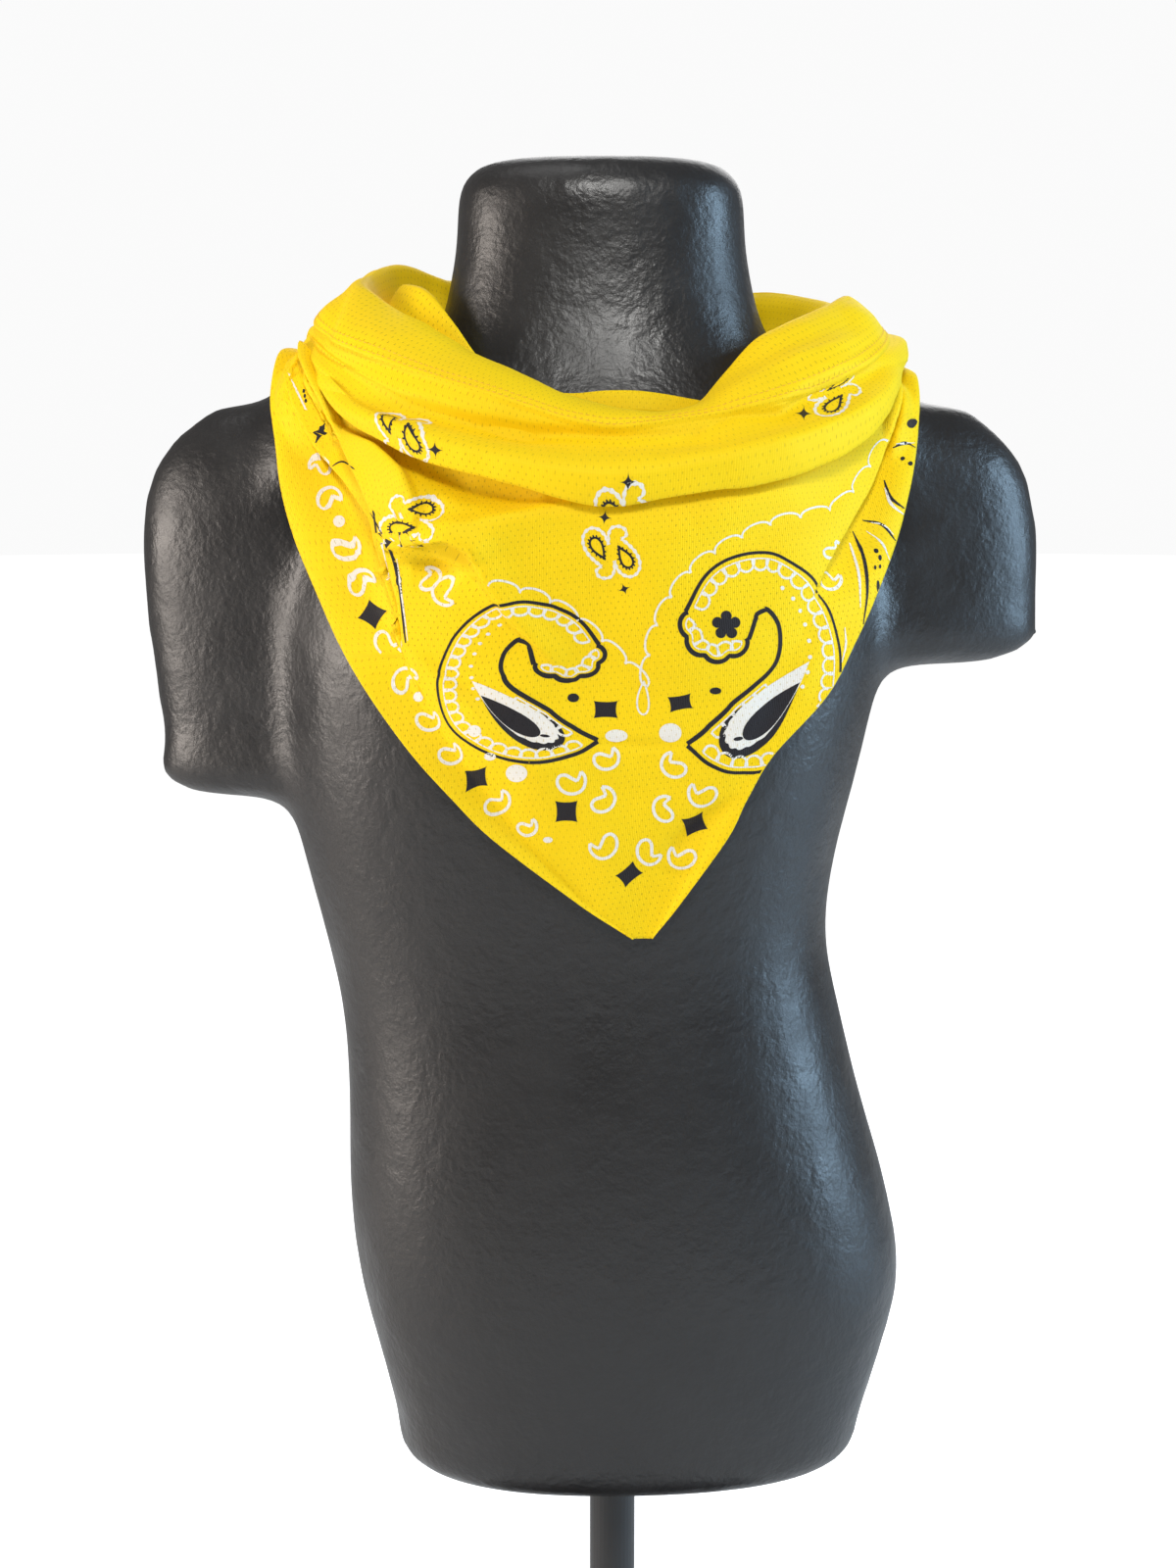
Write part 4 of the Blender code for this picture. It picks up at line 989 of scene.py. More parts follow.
COLLAR_STARS = [(444, 459, 6.5, 0), (820, 422, 6.5, 0), (641, 492, 6, 0)]
# The border's motifs behind the shoulders: from which angle, how far apart, and how far in from the hem.
BORDER_STARTS, BORDER_PITCH, BORDER_INSET = 97, 19.0, 12.5
BORDER_DROP, BORDER_DIAMOND = 27, 15
# The collar's motifs behind the shoulders, on the flat cloth: across, down and turn.
BACK_MEDALLIONS = [(88, -72, 25), (668, -72, -60)]
BACK_STARS = [(40, -80, 0), (130, -66, 20), (625, -68, 0), (712, -80, 15)]
BACK_STAR_RADIUS = 8.0
# The scalloped vines: a plain line, its arches' pitch and how far they bulge to the left of its way.
VINES = [
    ([(498, 598), (560, 616), (620, 662), (660, 701)], 34, 9),
    ([(660, 700), (672, 640), (704, 588), (780, 540), (860, 515), (906, 450)], 31, 9),
]
VINE_DROP = (656, 712, 90, 34, 12)  # across, down, turn, length, width
# Lines on the folds beside the panel, in the picture: black ones with their widths, and white ones.
BLACK_LINES = [
    ([(377, 521), (401, 569), (414, 656)], 1.9),
    ([(381, 521), (386, 560)], 1.6),
    ([(337, 477), (349, 471), (362, 479)], 1.3),
    ([(322, 452), (332, 431)], 1.6),
    ([(911, 457), (924, 452), (936, 458)], 1.5),
    ([(902, 490), (909, 508), (923, 519)], 1.7),
    ([(880, 531), (899, 535), (914, 552)], 1.7),
    ([(870, 542), (881, 568), (885, 600), (881, 637)], 1.7),
]
WHITE_LINES = [
    ([(405, 570), (416, 654)], 0.9),
    ([(386, 540), (398, 590)], 0.9),
    ([(294, 380), (316, 426)], 1.2),
    ([(914, 453), (933, 452)], 1.0),
    ([(903, 498), (909, 514), (922, 525)], 1.6),
    ([(888, 533), (902, 536), (912, 546)], 1.0),
    ([(867, 554), (876, 584), (878, 620)], 1.3),
    ([(884, 542), (899, 553), (908, 572)], 1.1),
    ([(862, 640), (863, 658), (859, 676)], 1.1),
]
FOLD_DOTS = [  # black dots: across, down, half width, half height
    (930, 432, 5.9, 4.9), (310, 399, 1.3, 2.2), (311, 404, 1.3, 2.2), (312, 409, 1.3, 2.2),
    (921, 468, 2.4, 2.0), (929, 473, 2.6, 2.2), (894, 562, 2.2, 2.4), (898, 569, 1.8, 3.0),
    (893, 579, 1.2, 2.2), (898, 578, 1.2, 2.2), (896, 598, 1.6, 6.0),
]


def rotated(points, degrees):
    c, s = math.cos(math.radians(degrees)), math.sin(math.radians(degrees))
    return np.asarray(points, float) @ np.array([[c, s], [-s, c]])


def resampled(points, gap):
    """A polyline with points about `gap` apart."""
    place = distances(points)
    return along(np.linspace(0, place[-1], max(3, round(place[-1] / gap) + 1)), place, points)


def curve_through(points, gap):
    """A smooth curve through a few points, as a polyline."""
    points = np.asarray(points, float)
    place = distances(points)
    fine = np.linspace(0, place[-1], 12 * len(points))
    return resampled(smooth_rows(np.column_stack([place, points]), fine), gap)


def left_of(path):
    """Unit vectors to the left of a path's way."""
    way = unit(np.gradient(path, axis=0))
    return np.stack([-way[:, 1], way[:, 0]], axis=-1)


def beside(path, distance):
    return path + left_of(path) * distance


def scallops(path, pitch, height, spread):
    """A row of arches that stand on the left of a path. Their feet cross where the spread is over a half."""
    place, side = distances(path), left_of(path)
    ends = np.linspace(0, place[-1], max(1, round(place[-1] / pitch)) + 1)
    t = np.linspace(0, np.pi, 13)
    arches = []
    for a, b in zip(ends, ends[1:], strict=False):
        at = a + (b - a) * (0.5 - spread * np.cos(t))
        arches.append(along(at, place, path) + along(at, place, side) * height * (np.sin(t) ** 0.7)[:, None])
    return arches


def drop_curve(length, width, bend=0.0, count=44):
    """A closed drop round its own middle. Its tip points to the right, and the bend curls it up."""
    x, y = np.cos(full_turn(count)), np.sin(full_turn(count)) * np.sin(full_turn(count) / 2)
    y = y / np.abs(y).max() * width / 2
    return np.stack([x * length / 2, y + bend * width * ((x + 1) / 2) ** 1.8], axis=-1)


def drop_between(tip, end, width, bend=0.0, count=72):
    """A drop with its tip and its round end at given places."""
    way = np.subtract(tip, end)
    long = np.linalg.norm(way)
    lean = math.atan2(bend * width, long)
    drop = rotated(drop_curve(long, width, bend, count), math.degrees(math.atan2(way[1], way[0]) - lean))
    return drop + tip - drop[0]


def four_tips(half_width, half_height, hollow):
    """A star with four tips, one to each side, and hollow flanks."""
    c, s = np.cos(full_turn(48)), np.sin(full_turn(48))
    c, s = (np.sign(x) * np.abs(x) ** hollow for x in (c, s))
    return np.stack([half_width * c, half_height * s], axis=-1)


def diamond(half_width, half_height):
    return rotated(four_tips(1, 1, DIAMOND_HOLLOW), 45) * (half_width, half_height)


def oval(half_width, half_height, count=24):
    t = full_turn(count)
    return np.stack([half_width * np.cos(t), half_height * np.sin(t)], axis=-1)


def flower(radius, petals, depth):
    t = full_turn(80)
    r = radius * (1 - depth * (1 - np.abs(np.cos(petals * t / 2)) ** 0.6))
    return rotated(np.stack([r * np.cos(t), r * np.sin(t)], axis=-1), 90)


class Ink:
    """One colour of print on one sheet of cloth, collected as flat triangles."""

    def __init__(self, cloth):
        self.cloth, self.places, self.faces, self.count = cloth, [], [], 0

    def add(self, places, faces):
        self.places.append(places)
        self.faces.append(np.concatenate(faces) + self.count)
        self.count += len(places)

    def line(self, path, width, closed=False):
        """A line of a given width, or of a width for each point, along a flat path."""
        if closed:
            path = np.concatenate([path, path[:2]])
        side = left_of(path) * (np.broadcast_to(width, len(path)) / 2)[:, None]
        if closed:
            side[0] = left_of(path[[-3, 0, 1]])[1] * np.linalg.norm(side[1])
            path, side = path[:-1], side[:-1]
            side[-1] = side[0]
        n = len(path)
        i = np.arange(n - 1)
        faces = [np.stack([i, i + n, i + 1], axis=-1), np.stack([i + 1, i + n, i + n + 1], axis=-1)]
        self.add(np.concatenate([path + side, path - side]), faces)

    def fill(self, outline):
        """A filled shape, whose whole outline can be seen from its middle."""
        middle = np.nanmean(outline, axis=0)
        reach = np.nanmax(np.linalg.norm(outline - middle, axis=1))
        rings = max(1, math.ceil(reach / INK_STEP))
        n = len(outline)
        shares = np.arange(1, rings + 1) / rings
        places = np.concatenate([[middle]] + [middle + (outline - middle) * share for share in shares])
        i = np.arange(n)
        j = (i + 1) % n
        faces = [np.stack([0 * i, 1 + i, 1 + j], axis=-1)]
        for inner in range(1, 1 + (rings - 1) * n, n):
            faces.append(np.stack([inner + i, inner + n + i, inner + n + j], axis=-1))
            faces.append(np.stack([inner + i, inner + n + j, inner + j], axis=-1))
        self.add(places, faces)

    def object(self, name, material, lift, highest=np.inf):
        """The print as a film just over the worn cloth. Triangles that leave the cloth, or lie higher on it
        than a given place, are left out."""
        places, faces = np.nan_to_num(np.concatenate(self.places), nan=OFF_CLOTH), np.concatenate(self.faces)
        faces = faces[(places[faces][..., 1] < highest).all(axis=1)]
        points, normals, found = self.cloth.worn(places)
        faces = faces[found[faces].all(axis=1)]
        flat_long, worn_long = longest_sides(places, faces), longest_sides(points, faces)
        faces = faces[(worn_long < 2.5 * flat_long + 0.5) & (flat_long < LONGEST_INK)]
        a, b, c = (points[faces[:, i]] for i in range(3))
        away = (np.cross(b - a, c - a) * normals[faces[:, 0]]).sum(axis=1)
        faces = np.where(away[:, None] < 0, faces[:, ::-1], faces)
        used, compact = np.unique(faces, return_inverse=True)
        points, normals, places = points[used], normals[used], places[used]
        return mesh_object(name, points + normals * lift, compact.reshape(-1, 3), places, material, normals)


class FlatSpot:
    """A place given on the flat cloth, where motifs are drawn in the picture's pixels."""

    def __init__(self, place, turn=0.0, mirror=1):
        self.here, self.turn, self.mirror = np.array(place, float), turn, mirror
        self.ways = np.eye(2) * PIXEL

    def turned(self, points):
        return rotated(np.asarray(points, float) * (self.mirror, 1), self.turn)

    def on(self, points):
        return self.turned(points) @ self.ways + self.here


class Spot(FlatSpot):
    """A place on the cloth under a pixel. The print follows the picture where the cloth turns away, within
    limits, and its own true shape beyond them."""

    def __init__(self, cloth, x, y, turn=0.0, mirror=1):
        here, *ends = cloth.seen([(x, y), (x + 3, y), (x - 3, y), (x, y - 3), (x, y + 3)])
        super().__init__(here, turn, mirror)
        steps = np.array([[ends[0] - here, here - ends[1]], [ends[2] - here, here - ends[3]]]) / 3
        long = np.nan_to_num(np.linalg.norm(steps, axis=-1), nan=OFF_CLOTH)
        if long.min(axis=1).max() <= MOST_STEP * PIXEL:
            left, size, right = np.linalg.svd(steps[(0, 1), long.argmin(axis=1)])
            size = np.clip(size, PIXEL * LEAST_STRETCH, PIXEL * MOST_STRETCH)
            self.ways = left @ np.diag(size) @ right


class FoldSpot(FlatSpot):
    """A pixel near the folds, where each point of a motif lies under its own pixel, on whichever layer."""

    def __init__(self, cloth, x, y, turn=0.0, mirror=1):
        super().__init__((x, y), turn, mirror)
        self.cloth = cloth

    def on(self, points):
        return self.cloth.seen(self.turned(points) * (1, -1) + self.here)


def spot_under(cloth, x, y, turn=0.0, mirror=1):
    return (FoldSpot if x < FOLDS_END else Spot)(cloth, x, y, turn, mirror)


def drawn(cloth, pixels, smooth=True):
    """Flat paths under a line in the picture: one for each stretch that lies on one layer."""
    places = cloth.seen(curve_through(pixels, 2.0) if smooth else resampled(pixels, 2.0))
    jump = np.linalg.norm(np.diff(places, axis=0), axis=1)
    breaks = np.flatnonzero(~(jump < LAYER_JUMP)) + 1
    stretches = [s[np.isfinite(s).all(axis=1)] for s in np.split(places, breaks)]
    return [resampled(s, INK_STEP) for s in stretches if len(s) > 2]


def comma_drop(white, spot, length):
    step = INK_STEP / PIXEL / length
    for stretch, width in ((COMMA_BODY, COMMA_LINE), (COMMA_NECK, COMMA_LINE * 0.9)):
        white.line(spot.on(curve_through(stretch, step) * length), width)


def medallion(black, white, spot, below=0.0):
    """A white beaded outline round two black toothed drops, some pixels below its spot."""
    place, length, width, way = MEDALLION_DROP
    down = rotated([(0, -below)], -spot.turn)
    for half in (1, -1):
        for stretch in MEDALLION_HALF:
            path = curve_through(stretch, 1.2)
            beads = 1 + BEAD_DEPTH * np.cos(distances(path) * 2 * np.pi / BEAD_PITCH)
            white.line(spot.on(path * half + down), BEAD_LINE * beads)
        ring = (rotated(drop_curve(length, width, 0.0, 52), way) + place) * half
        black.line(spot.on(ring + down), RING_LINE, closed=True)
        outward = unit(ring - np.array(place) * half)
        for at, out in zip(ring[::3], outward[::3], strict=True):
            black.line(spot.on(at + out * TOOTH_PLACES + down), TOOTH_WIDTHS)


def small_star(black, spot, radius):
    black.fill(spot.on(four_tips(radius * 1.4, radius * 1.3, STAR_HOLLOW)))


def warp(local, flat):
    """The smooth map that carries local points to flat ones, and bends least between them."""
    local = local / WARP_UNIT

    def terms(points):
        square = ((points[:, None] - local) ** 2).sum(axis=-1)
        return square * np.log(square + 1e-9), np.column_stack([np.ones(len(points)), points])

    bend, plain = terms(local)
    bend = bend + WARP_SOFTNESS * np.eye(len(local))
    system = np.block([[bend, plain], [plain.T, np.zeros((3, 3))]])
    weights = np.linalg.solve(system, np.concatenate([flat, np.zeros((3, 2))]))
    return lambda points: np.hstack(terms(points / WARP_UNIT)) @ weights


def paisley(black, white, on, flowered):
    """A large paisley with a curled head, through a map from its own points to the flat cloth. It gives back
    the outlines of its white and its black inner drop, which lie on top."""
    step = INK_STEP / PIXEL
    rows = smooth_rows(SPINE, np.linspace(0, 1, SPINE_ROWS))
    spine, half = rows[:, :2], rows[:, 2:]
    side = left_of(spine)
    inner, outer = resampled(spine + side * half, step), resampled(spine - side * half, step)
    turn = np.linspace(0, np.pi, HEAD_POINTS)[:, None]
    bulge = half[-1] * (1 + LOBE_DEPTH * (np.abs(np.sin(HEAD_LOBES * turn)) ** 0.6 - 0.5))
    way = np.array([side[-1][1], -side[-1][0]])
    head = resampled(spine[-1] - side[-1] * np.cos(turn) * bulge + way * np.sin(turn) * bulge, step)
    black.line(on(outer), BLACK_LINE * (1 - 0.4 * np.sin(np.linspace(0, np.pi, len(outer))) ** 0.5))
    black.line(on(head), BLACK_LINE)
    black.line(on(inner), BLACK_LINE)
    # The rows of arches inside leave the crook free.
    body = inner[10 : int(CROOK_STARTS * len(inner))]
    for path, (inset, pitch, height) in zip((outer[6:-3], head[2:-2], body), ARCHES, strict=True):
        path = beside(path, inset)
        white.line(on(path), WHITE_LINE * 0.6)
        for arch in scallops(path, pitch, height, ARCH_SPREAD):
            white.line(on(arch), WHITE_LINE)
    for place in spine[SPINE_DOTS]:
        white.fill(on(oval(SPINE_DOT, SPINE_DOT, 12) + place))
    if flowered:
        black.fill(on(flower(*FLOWER) + FLOWER_PLACE))
    black.fill(on(drop_between(*RIM_DROP)))
    light = drop_between(*WHITE_DROP, count=WHITE_POINTS)
    bumped = np.linalg.norm(light - light[WHITE_POINTS // 2], axis=1) < WHITE_BUMPS_REACH
    bumps = 1 + WHITE_BUMP * bumped * np.abs(np.sin(np.arange(WHITE_POINTS) * WHITE_BUMP_TURN))
    middle = light.mean(axis=0)
    light = middle + (light - middle) * bumps[:, None]
    return on(light), on(drop_between(*HEART_DROP)), on(rotated(oval(5, 2, 16), 12) + SEED_PLACE)


def print_back_border(cape, black, white):
    """The border's drops and diamonds go on behind the shoulders, along both hems."""
    for column, inward in ((0, 1), (-1, -1)):
        behind = np.abs(angle_of(cape.grid[:, column])) > BORDER_STARTS
        hem = resampled(cape.flat_grid[:, column][behind], BORDER_PITCH)
        for k, place in enumerate(hem[1:-1] + (inward * BORDER_INSET, 0)):
            if k % 4 == 2:
                black.fill(FlatSpot(place, 45).on(diamond(BORDER_DIAMOND, BORDER_DIAMOND)))
            else:
                comma_drop(white, FlatSpot(place, 70 * inward + 50 * (k % 2), inward), BORDER_DROP)


def print_cape(cape, materials):
    black, white, top_black, top_white = (Ink(cape) for _ in range(4))
    lattice = np.array(PAISLEY_LATTICE, float)
    for x, y, mirror, wide, tall, flowered in PAISLEYS:
        places = cape.seen(lattice * (mirror * wide, -tall) + (x, y))
        known = np.isfinite(places).all(axis=1)
        light, heart, seed = paisley(black, white, warp(lattice[known], places[known]), flowered)
        top_white.fill(light)
        top_black.fill(heart)
        top_black.fill(seed)
    for x, y, turn, length, mirror in PANEL_DROPS + WING_DROPS:
        comma_drop(white, spot_under(cape, x, y, turn, mirror), length)
    for ink, dots in ((white, WHITE_DOTS), (black, BLACK_DOTS + FOLD_DOTS)):
        for x, y, half_width, half_height in dots:
            ink.fill(spot_under(cape, x, y).on(oval(half_width, half_height)))
    for x, y, half_width, half_height, turn in DIAMONDS:
        black.fill(spot_under(cape, x, y, turn).on(diamond(1.414 * half_width, 1.414 * half_height)))
    for x, y, radius, turn in STARS:
        small_star(black, Spot(cape, x, y, turn), radius)
    for x, y, turn in MEDALLIONS:
        medallion(black, white, spot_under(cape, x, y, turn))
    for guide, pitch, bulge in VINES:
        arches = np.concatenate(scallops(curve_through(guide, 2.0), pitch, -bulge, VINE_SPREAD))
        for path in drawn(cape, arches, smooth=False):
            white.line(path, VINE_LINE)
    x, y, turn, length, width = VINE_DROP
    white.line(Spot(cape, x, y, turn).on(drop_curve(length, width)), VINE_DROP_LINE, closed=True)
    for ink, lines in ((black, BLACK_LINES), (white, WHITE_LINES)):
        for pixels, width in lines:
            for path in drawn(cape, pixels):
                ink.line(path, width * (0.35 + 0.65 * np.sin(np.linspace(0, np.pi, len(path)))))
    print_back_border(cape, black, white)
    return [
        black.object("print_black_cape", materials["black"], INK_LIFT),
        white.object("print_white_cape", materials["white"], INK_LIFT),
        top_white.object("print_white_eyes", materials["white"], 1.5 * INK_LIFT),
        top_black.object("print_black_eyes", materials["black"], 2.0 * INK_LIFT),
    ]


def print_collar(collar, hem, materials):
    black, white = Ink(collar), Ink(collar)
    for x, y, turn, below in COLLAR_MEDALLIONS:
        medallion(black, white, Spot(collar, x, y, turn), below)
    for x, y, radius, turn in COLLAR_STARS:
        small_star(black, Spot(collar, x, y, turn), radius)
    for across, down, turn in BACK_MEDALLIONS:
        medallion(black, white, FlatSpot((across, down), turn))
    for across, down, turn in BACK_STARS:
        small_star(black, FlatSpot((across, down), turn), BACK_STAR_RADIUS)
    # The motifs run on out of sight under the top band's hem.
    highest = collar.flat_grid[hem + 2, 0, 1]
    return [
        black.object("print_black_collar", materials["black"], INK_LIFT, highest),
        white.object("print_white_collar", materials["white"], INK_LIFT, highest),
    ]


def build_stitches(collar, hem, material):
    """Two rows of small stitches along the top band's hem."""
    row_gap = np.linalg.norm(np.diff(collar.grid, axis=0), axis=-1).mean(axis=1)
    points, faces, flat = [], [], []
    for back in STITCH_ROWS:
        row = hem - back / row_gap[hem - 4 : hem].mean()
        low = int(row)
        line = collar.grid[low] * (1 - row + low) + collar.grid[low + 1] * (row - low)
        side = unit(collar.grid[low + 1] - collar.grid[low])
        place = distances(line)
        for start in np.arange(2.0, place[-1] - 3.0, STITCH_PITCH):
            at = start + np.linspace(0, STITCH_LONG, len(STITCH_TAPER))
            spine, out, wide = (along(at, place, values) for values in (line, collar.field[low], side))
            first = len(points)
            for k, taper in enumerate(STITCH_TAPER):
                thick = STITCH_THICK * taper
                for across, rise in STITCH_SECTION:
                    points.append(spine[k] + wide[k] * across * thick + out[k] * rise * thick)
                    flat.append((at[k], back + across * STITCH_THICK))
            for k in range(3):
                for corner in range(first + 4 * k, first + 4 * k + 3):
                    faces.append((corner, corner + 1, corner + 5, corner + 4))
    return mesh_object("collar_stitches", np.array(points), faces, np.array(flat), material)


# ---------------------------------------------------------------- materials

STAGE_GLOW, FLOOR_BOUNCE, WORLD_GLOW = 0.8, 0.04, 0.22
FLOOR_TONES = [(0.84, 0.84, 0.84, 1), (0.88, 0.88, 0.875, 1)]
FLOOR_RADIUS = 15000.0
PAPER = (0.96, 0.96, 0.96, 1.0)
PIN_ACROSS, PIN_DOWN = 3.3, 5.6  # millimetres between two pin-holes of one row, and between every second row
PIN_RIM, PIN_JITTER = (0.17, 0.08), 0.35  # a pin-hole's outer and inner rim, and how far it strays, of that
# How dark the pin-holes are painted, as painted shade in each hole, and how deep their bump sinks.
HOLE_SHADE_STRENGTH, HOLE_DEPTH = 0.75, 2.5
WALE, COURSE = 1.05, 0.945  # millimetres from one column of stitches to the next, and from row to row
WALE_SHADE = (0.86, 0.82, 0.7, 1)
CLOTH_TONES = (0.93, 1.05)
# Each light, in metres and watts: name, place, aim, size, power, colour.
LIGHTS = [
    ("key", (0.1, -1.85, 1.95), (0, 0, 0.7), (0.5, 0.5), 26.5, (1.0, 0.99, 0.96)),
    ("top", (-0.5, -0.2, 2.6), (0, 0, 0.7), (1.2, 1.0), 6, (1.0, 1.0, 1.0)),
    ("cool_side", (2.0, -0.3, 1.0), (0, 0, 0.6), (0.6, 1.6), 40, (0.5, 0.75, 1.0)),
    ("warm_side", (-2.1, -0.5, 0.8), (0, 0, 0.45), (0.8, 1.2), 34, (1.0, 0.9, 0.82)),
    ("behind", (0.4, 2.2, 1.8), (0, 0, 0.75), (1.5, 1.2), 16, (1.0, 1.0, 1.0)),
]


def feed(made, values):
    """Sets a node's own values and its inputs, and links an input to a value that is a node's output."""
    for key, value in values.items():
        if isinstance(value, bpy.types.NodeSocket):
            made.id_data.links.new(value, made.inputs[key])
        elif isinstance(key, str) and hasattr(made, key):
            setattr(made, key, value)
        else:
            made.inputs[key].default_value = value
    return made


def node(tree, kind, **values):
    return feed(tree.nodes.new(kind), values)


def maths(tree, operation, *terms, clamp=False):
    made = node(tree, "ShaderNodeMath", operation=operation, use_clamp=clamp)
    return feed(made, dict(enumerate(terms))).outputs[0]


def cloud_at(tree, place, scale, detail, **more):
    return node(tree, "ShaderNodeTexNoise", Scale=scale, Detail=detail, Vector=place, **more).outputs[0]


def position(tree):
    return node(tree, "ShaderNodeNewGeometry").outputs["Position"]


def remapped(tree, value, start, end, low, high, **more):
    ranges = {"From Min": start, "From Max": end, "To Min": low, "To Max": high}
    return node(tree, "ShaderNodeMapRange", **more, **ranges, Value=value).outputs[0]


def mixed(tree, share, a, b, **more):
    made = node(tree, "ShaderNodeMix", data_type="RGBA", **more, Factor=share, A=a, B=b)
    return made.outputs["Result"]


def bump(tree, height, strength, distance):
    return node(tree, "ShaderNodeBump", Strength=strength, Distance=distance, Height=height).outputs[0]


def shader_of(name, colour, roughness, **inputs):
    material = bpy.data.materials.new(name)
    material.use_nodes = True
    shader = material.node_tree.nodes["Principled BSDF"]
    feed(shader, {"Base Color": (*colour, 1.0), "Roughness": roughness, **inputs})
    return material, material.node_tree, shader


def knit_pattern(tree):
    """(pin-hole mask, wale height) of the jersey, from texture places in metres."""
    places = node(tree, "ShaderNodeUVMap", uv_map="knit").outputs["UV"]
    across, down, _ = node(tree, "ShaderNodeSeparateXYZ", Vector=places).outputs
    wander = maths(tree, "SUBTRACT", cloud_at(tree, places, 260.0, 1.0), 0.5)
    jitter = maths(tree, "MULTIPLY", wander, PIN_JITTER)
    u = maths(tree, "ADD", maths(tree, "MULTIPLY", across, 1 / PIN_ACROSS / MM), jitter)
    v = maths(tree, "ADD", maths(tree, "MULTIPLY", down, 1 / PIN_DOWN / MM), jitter)
    lattice = node(tree, "ShaderNodeCombineXYZ", X=maths(tree, "ADD", u, v), Y=maths(tree, "SUBTRACT", u, v))
    cells = node(tree, "ShaderNodeTexVoronoi", Scale=1.0, Randomness=0.0, Vector=lattice.outputs[0])
    hole = remapped(tree, cells.outputs["Distance"], *PIN_RIM, 0.0, 1.0, interpolation_type="SMOOTHSTEP")
    wave, row = (
        maths(tree, "SINE", maths(tree, "MULTIPLY", way, 2 * math.pi / pitch / MM))
        for way, pitch in ((across, WALE), (down, COURSE))
    )
    height = maths(tree, "ADD", maths(tree, "MULTIPLY", wave, 0.5), maths(tree, "MULTIPLY", row, 0.22))
    return hole, height


def jersey(name, colour, hole_shade_colour, sheen=0.06, roughness=0.6):
    """Mesh jersey in one colour, with fine wales and pin-hole dots painted darker: partly the darker layer
    under the cloth, partly painted shade inside each hole.
    """
    material, tree, shader = shader_of(name, colour, roughness)
    hole, height = knit_pattern(tree)
    cloud = cloud_at(tree, position(tree), 14.0, 3.0)
    tones = [(*(min(1.0, c * tone) for c in colour), 1) for tone in CLOTH_TONES]
    wales = maths(tree, "MULTIPLY", maths(tree, "ADD", height, 0.72), 0.25, clamp=True)
    thread = mixed(tree, wales, mixed(tree, cloud, *tones), WALE_SHADE, blend_type="MULTIPLY")
    # The pin-holes are painted darker in patches over the cloth: painted shade in each hole.
    patch = maths(tree, "ADD", maths(tree, "MULTIPLY", cloud, 1.5), -0.15, clamp=True)
    hole_shade = maths(tree, "MULTIPLY", maths(tree, "MULTIPLY", hole, patch), HOLE_SHADE_STRENGTH)
    relief = maths(tree, "SUBTRACT", height, maths(tree, "MULTIPLY", hole, HOLE_DEPTH))
    feed(shader, {
        "Base Color": mixed(tree, hole_shade, thread, (*hole_shade_colour, 1)),
        "Normal": bump(tree, relief, 0.35, 0.25 * MM),
        "Specular IOR Level": 0.18,
        "Sheen Weight": sheen,
        "Sheen Roughness": 0.45,
        "Sheen Tint": (1.0, 0.85, 0.35, 1.0),
    })
    return material


def form_material():
    """Black paint with the orange-peel skin of a cast form."""
    material, tree, shader = shader_of("black_form_skin", (0.012, 0.011, 0.011), 0.36)
    place = position(tree)
    small, large = cloud_at(tree, place, 330.0, 3.0, Roughness=0.6), cloud_at(tree, place, 95.0, 2.0)
    height = maths(tree, "ADD", maths(tree, "MULTIPLY", small, 0.55), large)
    feed(shader, {
        "Normal": bump(tree, height, 0.55, 1.2 * MM),
        "Roughness": remapped(tree, cloud_at(tree, place, 28.0, 5.0), 0.3, 0.7, 0.30, 0.46),
        "Specular IOR Level": 0.55,
        "Coat Weight": 0.04,
        "Coat Roughness": 0.3,
    })
    return material


def steel_material():
    material, tree, shader = shader_of("black_powder_coat", (0.02, 0.02, 0.021), 0.45)
    grain = cloud_at(tree, position(tree), 1400.0, 2.0)
    feed(shader, {"Normal": bump(tree, grain, 0.3, 0.2 * MM)})
    return material


# ---------------------------------------------------------------- stage, lights and camera


def build_stage():
    """A plain pale floor that is bright to the camera, and gives the object little light of its own."""
    material, tree, shader = shader_of("pale_floor", (0.86, 0.86, 0.855), 0.9)
    ray = node(tree, "ShaderNodeLightPath").outputs["Is Camera Ray"]
    grain = node(tree, "ShaderNodeTexNoise", Scale=3.0, Detail=2.0).outputs[0]
    feed(shader, {
        "Base Color": mixed(tree, grain, *FLOOR_TONES),
        "Emission Color": (1.0, 1.0, 1.0, 1.0),
        "Emission Strength": maths(tree, "ADD", maths(tree, "MULTIPLY", ray, STAGE_GLOW), FLOOR_BOUNCE),
    })
    rim = [(FLOOR_RADIUS * math.cos(t), FLOOR_RADIUS * math.sin(t), -0.5) for t in full_turn(64)]
    plain_object("floor", rim, [tuple(range(64))], material)


def area_light(name, place, aim, size, power, colour):
    light = bpy.data.lights.new(name, "AREA")
    light.shape = "RECTANGLE"
    light.size, light.size_y = size
    light.energy = power
    light.color = colour
    made = linked(name, light)
    made.location = place
    made.rotation_euler = (Vector(aim) - Vector(place)).to_track_quat("-Z", "Y").to_euler()


def build_world():
    """A soft even light that the camera sees as white paper."""
    world = bpy.data.worlds.new("studio")
    world.use_nodes = True
    tree = world.node_tree
    soft = feed(tree.nodes["Background"], {"Color": (1.0, 1.0, 1.0, 1.0), "Strength": WORLD_GLOW})
    paper = node(tree, "ShaderNodeBackground", Color=PAPER, Strength=1.0)
    ray = node(tree, "ShaderNodeLightPath").outputs["Is Camera Ray"]
    both = feed(tree.nodes.new("ShaderNodeMixShader"), {0: ray, 1: soft.outputs[0], 2: paper.outputs[0]})
    feed(tree.nodes["World Output"], {"Surface": both.outputs[0]})
    bpy.context.scene.world = world


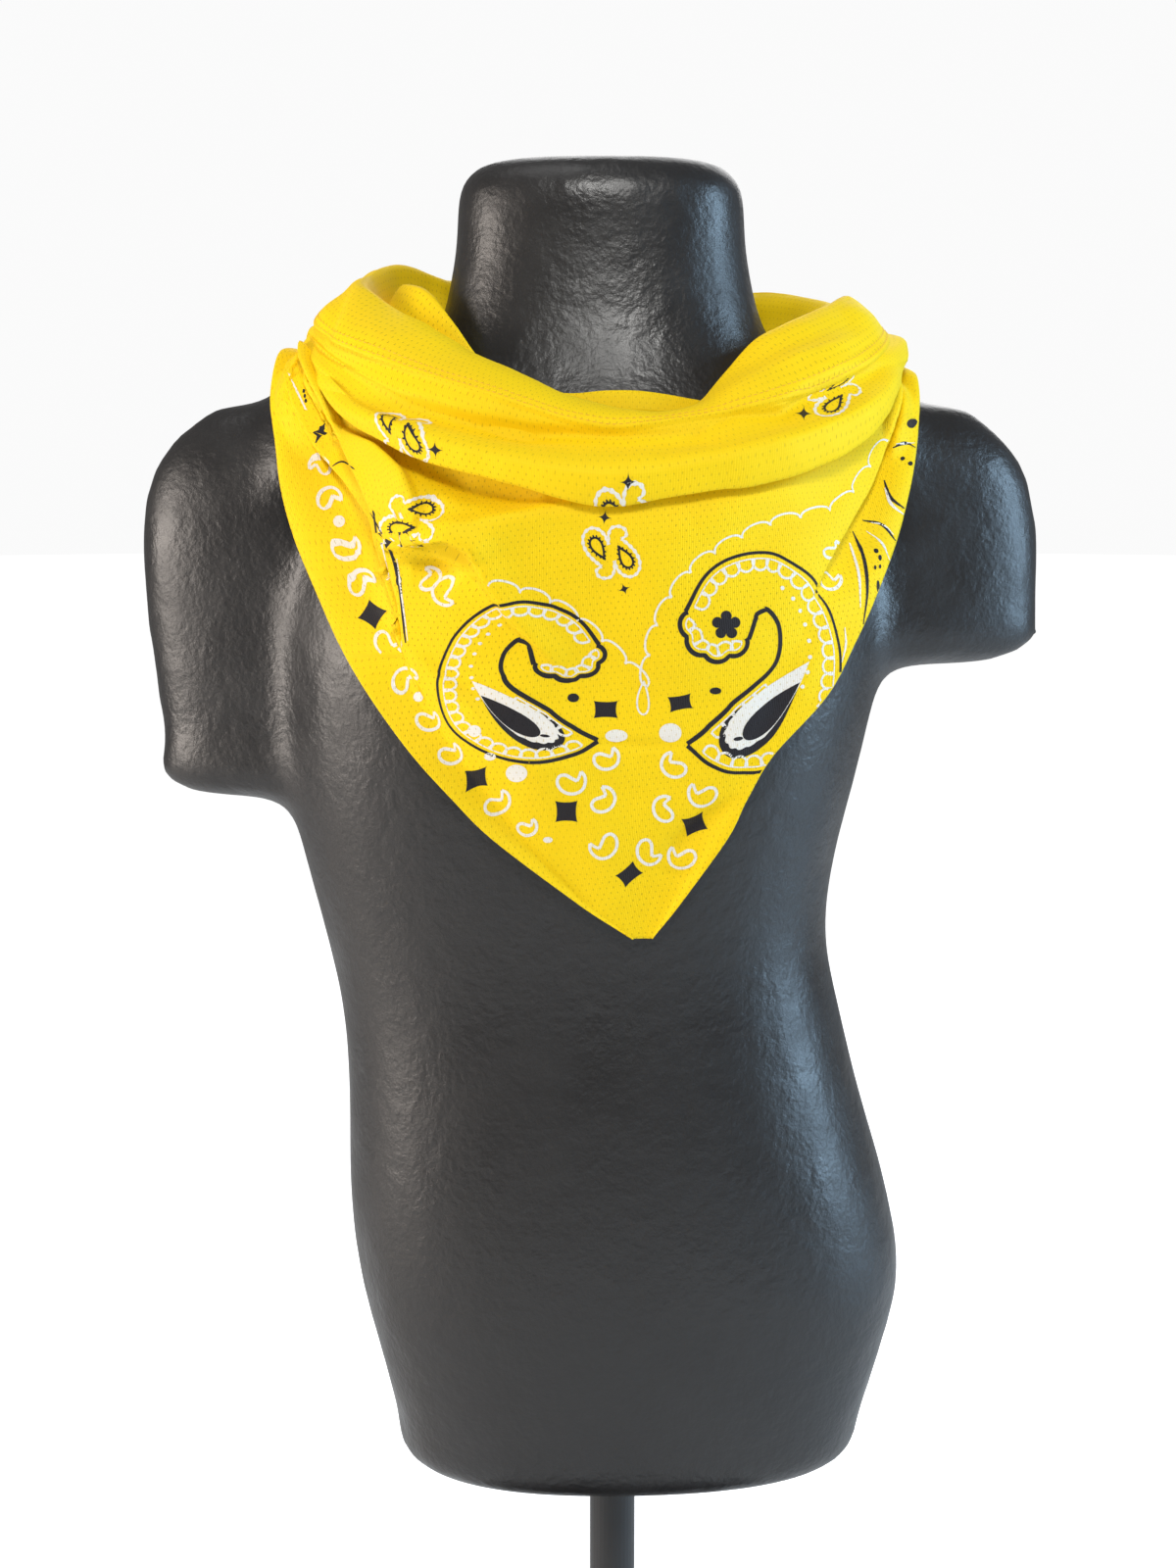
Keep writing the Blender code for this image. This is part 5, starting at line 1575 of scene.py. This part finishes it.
def build_camera():
    camera = bpy.data.cameras.new("camera")
    camera.sensor_width = SENSOR
    camera.lens = SENSOR * DISTANCE / (PICTURE[1] * PIXEL)
    made = linked("camera", camera)
    made.location = Vector(EYE * MM)
    made.rotation_euler = Vector(AHEAD).to_track_quat("-Z", "Y").to_euler()
    bpy.context.scene.camera = made
    bpy.context.scene.view_settings.view_transform = "Standard"


def declare(piece, rests_on):
    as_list(rests_on)


def main():
    for light in LIGHTS:
        area_light(*light)
    build_world()
    build_camera()
    build_stage()
    # Its second colour is the pin-holes' painted shade, partly the darker layer under the cloth.
    yellow = jersey("yellow_jersey", (0.94, 0.65, 0.003), (0.42, 0.24, 0.0))
    form = build_form(form_material())
    tree = BVHTree.FromObject(form, bpy.context.evaluated_depsgraph_get())
    steel = steel_material()
    for name in ("pole", "base"):
        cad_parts[name].data.materials.clear()
        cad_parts[name].data.materials.append(steel)
    cape = build_cape(tree, yellow)
    collar, hem = build_collar(tree, yellow)
    inner = build_inner(tree, yellow)
    knot, *tails = build_knot(yellow)
    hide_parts("dress_form")
    # Each ink's second colour is its pin-holes' painted shade, partly the darker layer under the cloth.
    inks = {
        "black": jersey("black_print", (0.020, 0.018, 0.022), (0.006, 0.006, 0.006), 0.1, 0.55),
        "white": jersey("white_print", (0.82, 0.79, 0.74), (0.55, 0.40, 0.10), 0.1, 0.6),
    }
    prints = print_cape(cape, inks)
    collar_prints = print_collar(collar, hem, inks)
    # The stitches' thread is darker orange than the cloth, as painted shade along the stitch line.
    thread = shader_of("thread_with_painted_shade", (0.80, 0.42, 0.01), 0.5)[0]
    collar_prints.append(build_stitches(collar, hem, thread))
    cape, collar, inner, knot, *tails = (cloth.object for cloth in (cape, collar, inner, knot, *tails))
    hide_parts("front_panel", "left_pleat", "left_wing", "right_wing")
    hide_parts("collar_top", "collar_roll", "nape_left", "nape_right")
    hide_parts("collar_inner")
    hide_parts("knot")
    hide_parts("tail_left")
    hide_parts("tail_right")
    for piece in (cape, collar, inner, knot, *tails, *prints, *collar_prints):
        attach(piece, "root")
    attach(form, "root")
    declare(cape, form)
    declare(collar, form)
    declare(inner, form)
    declare(knot, collar)
    for tail in tails:
        declare(tail, knot)


main()
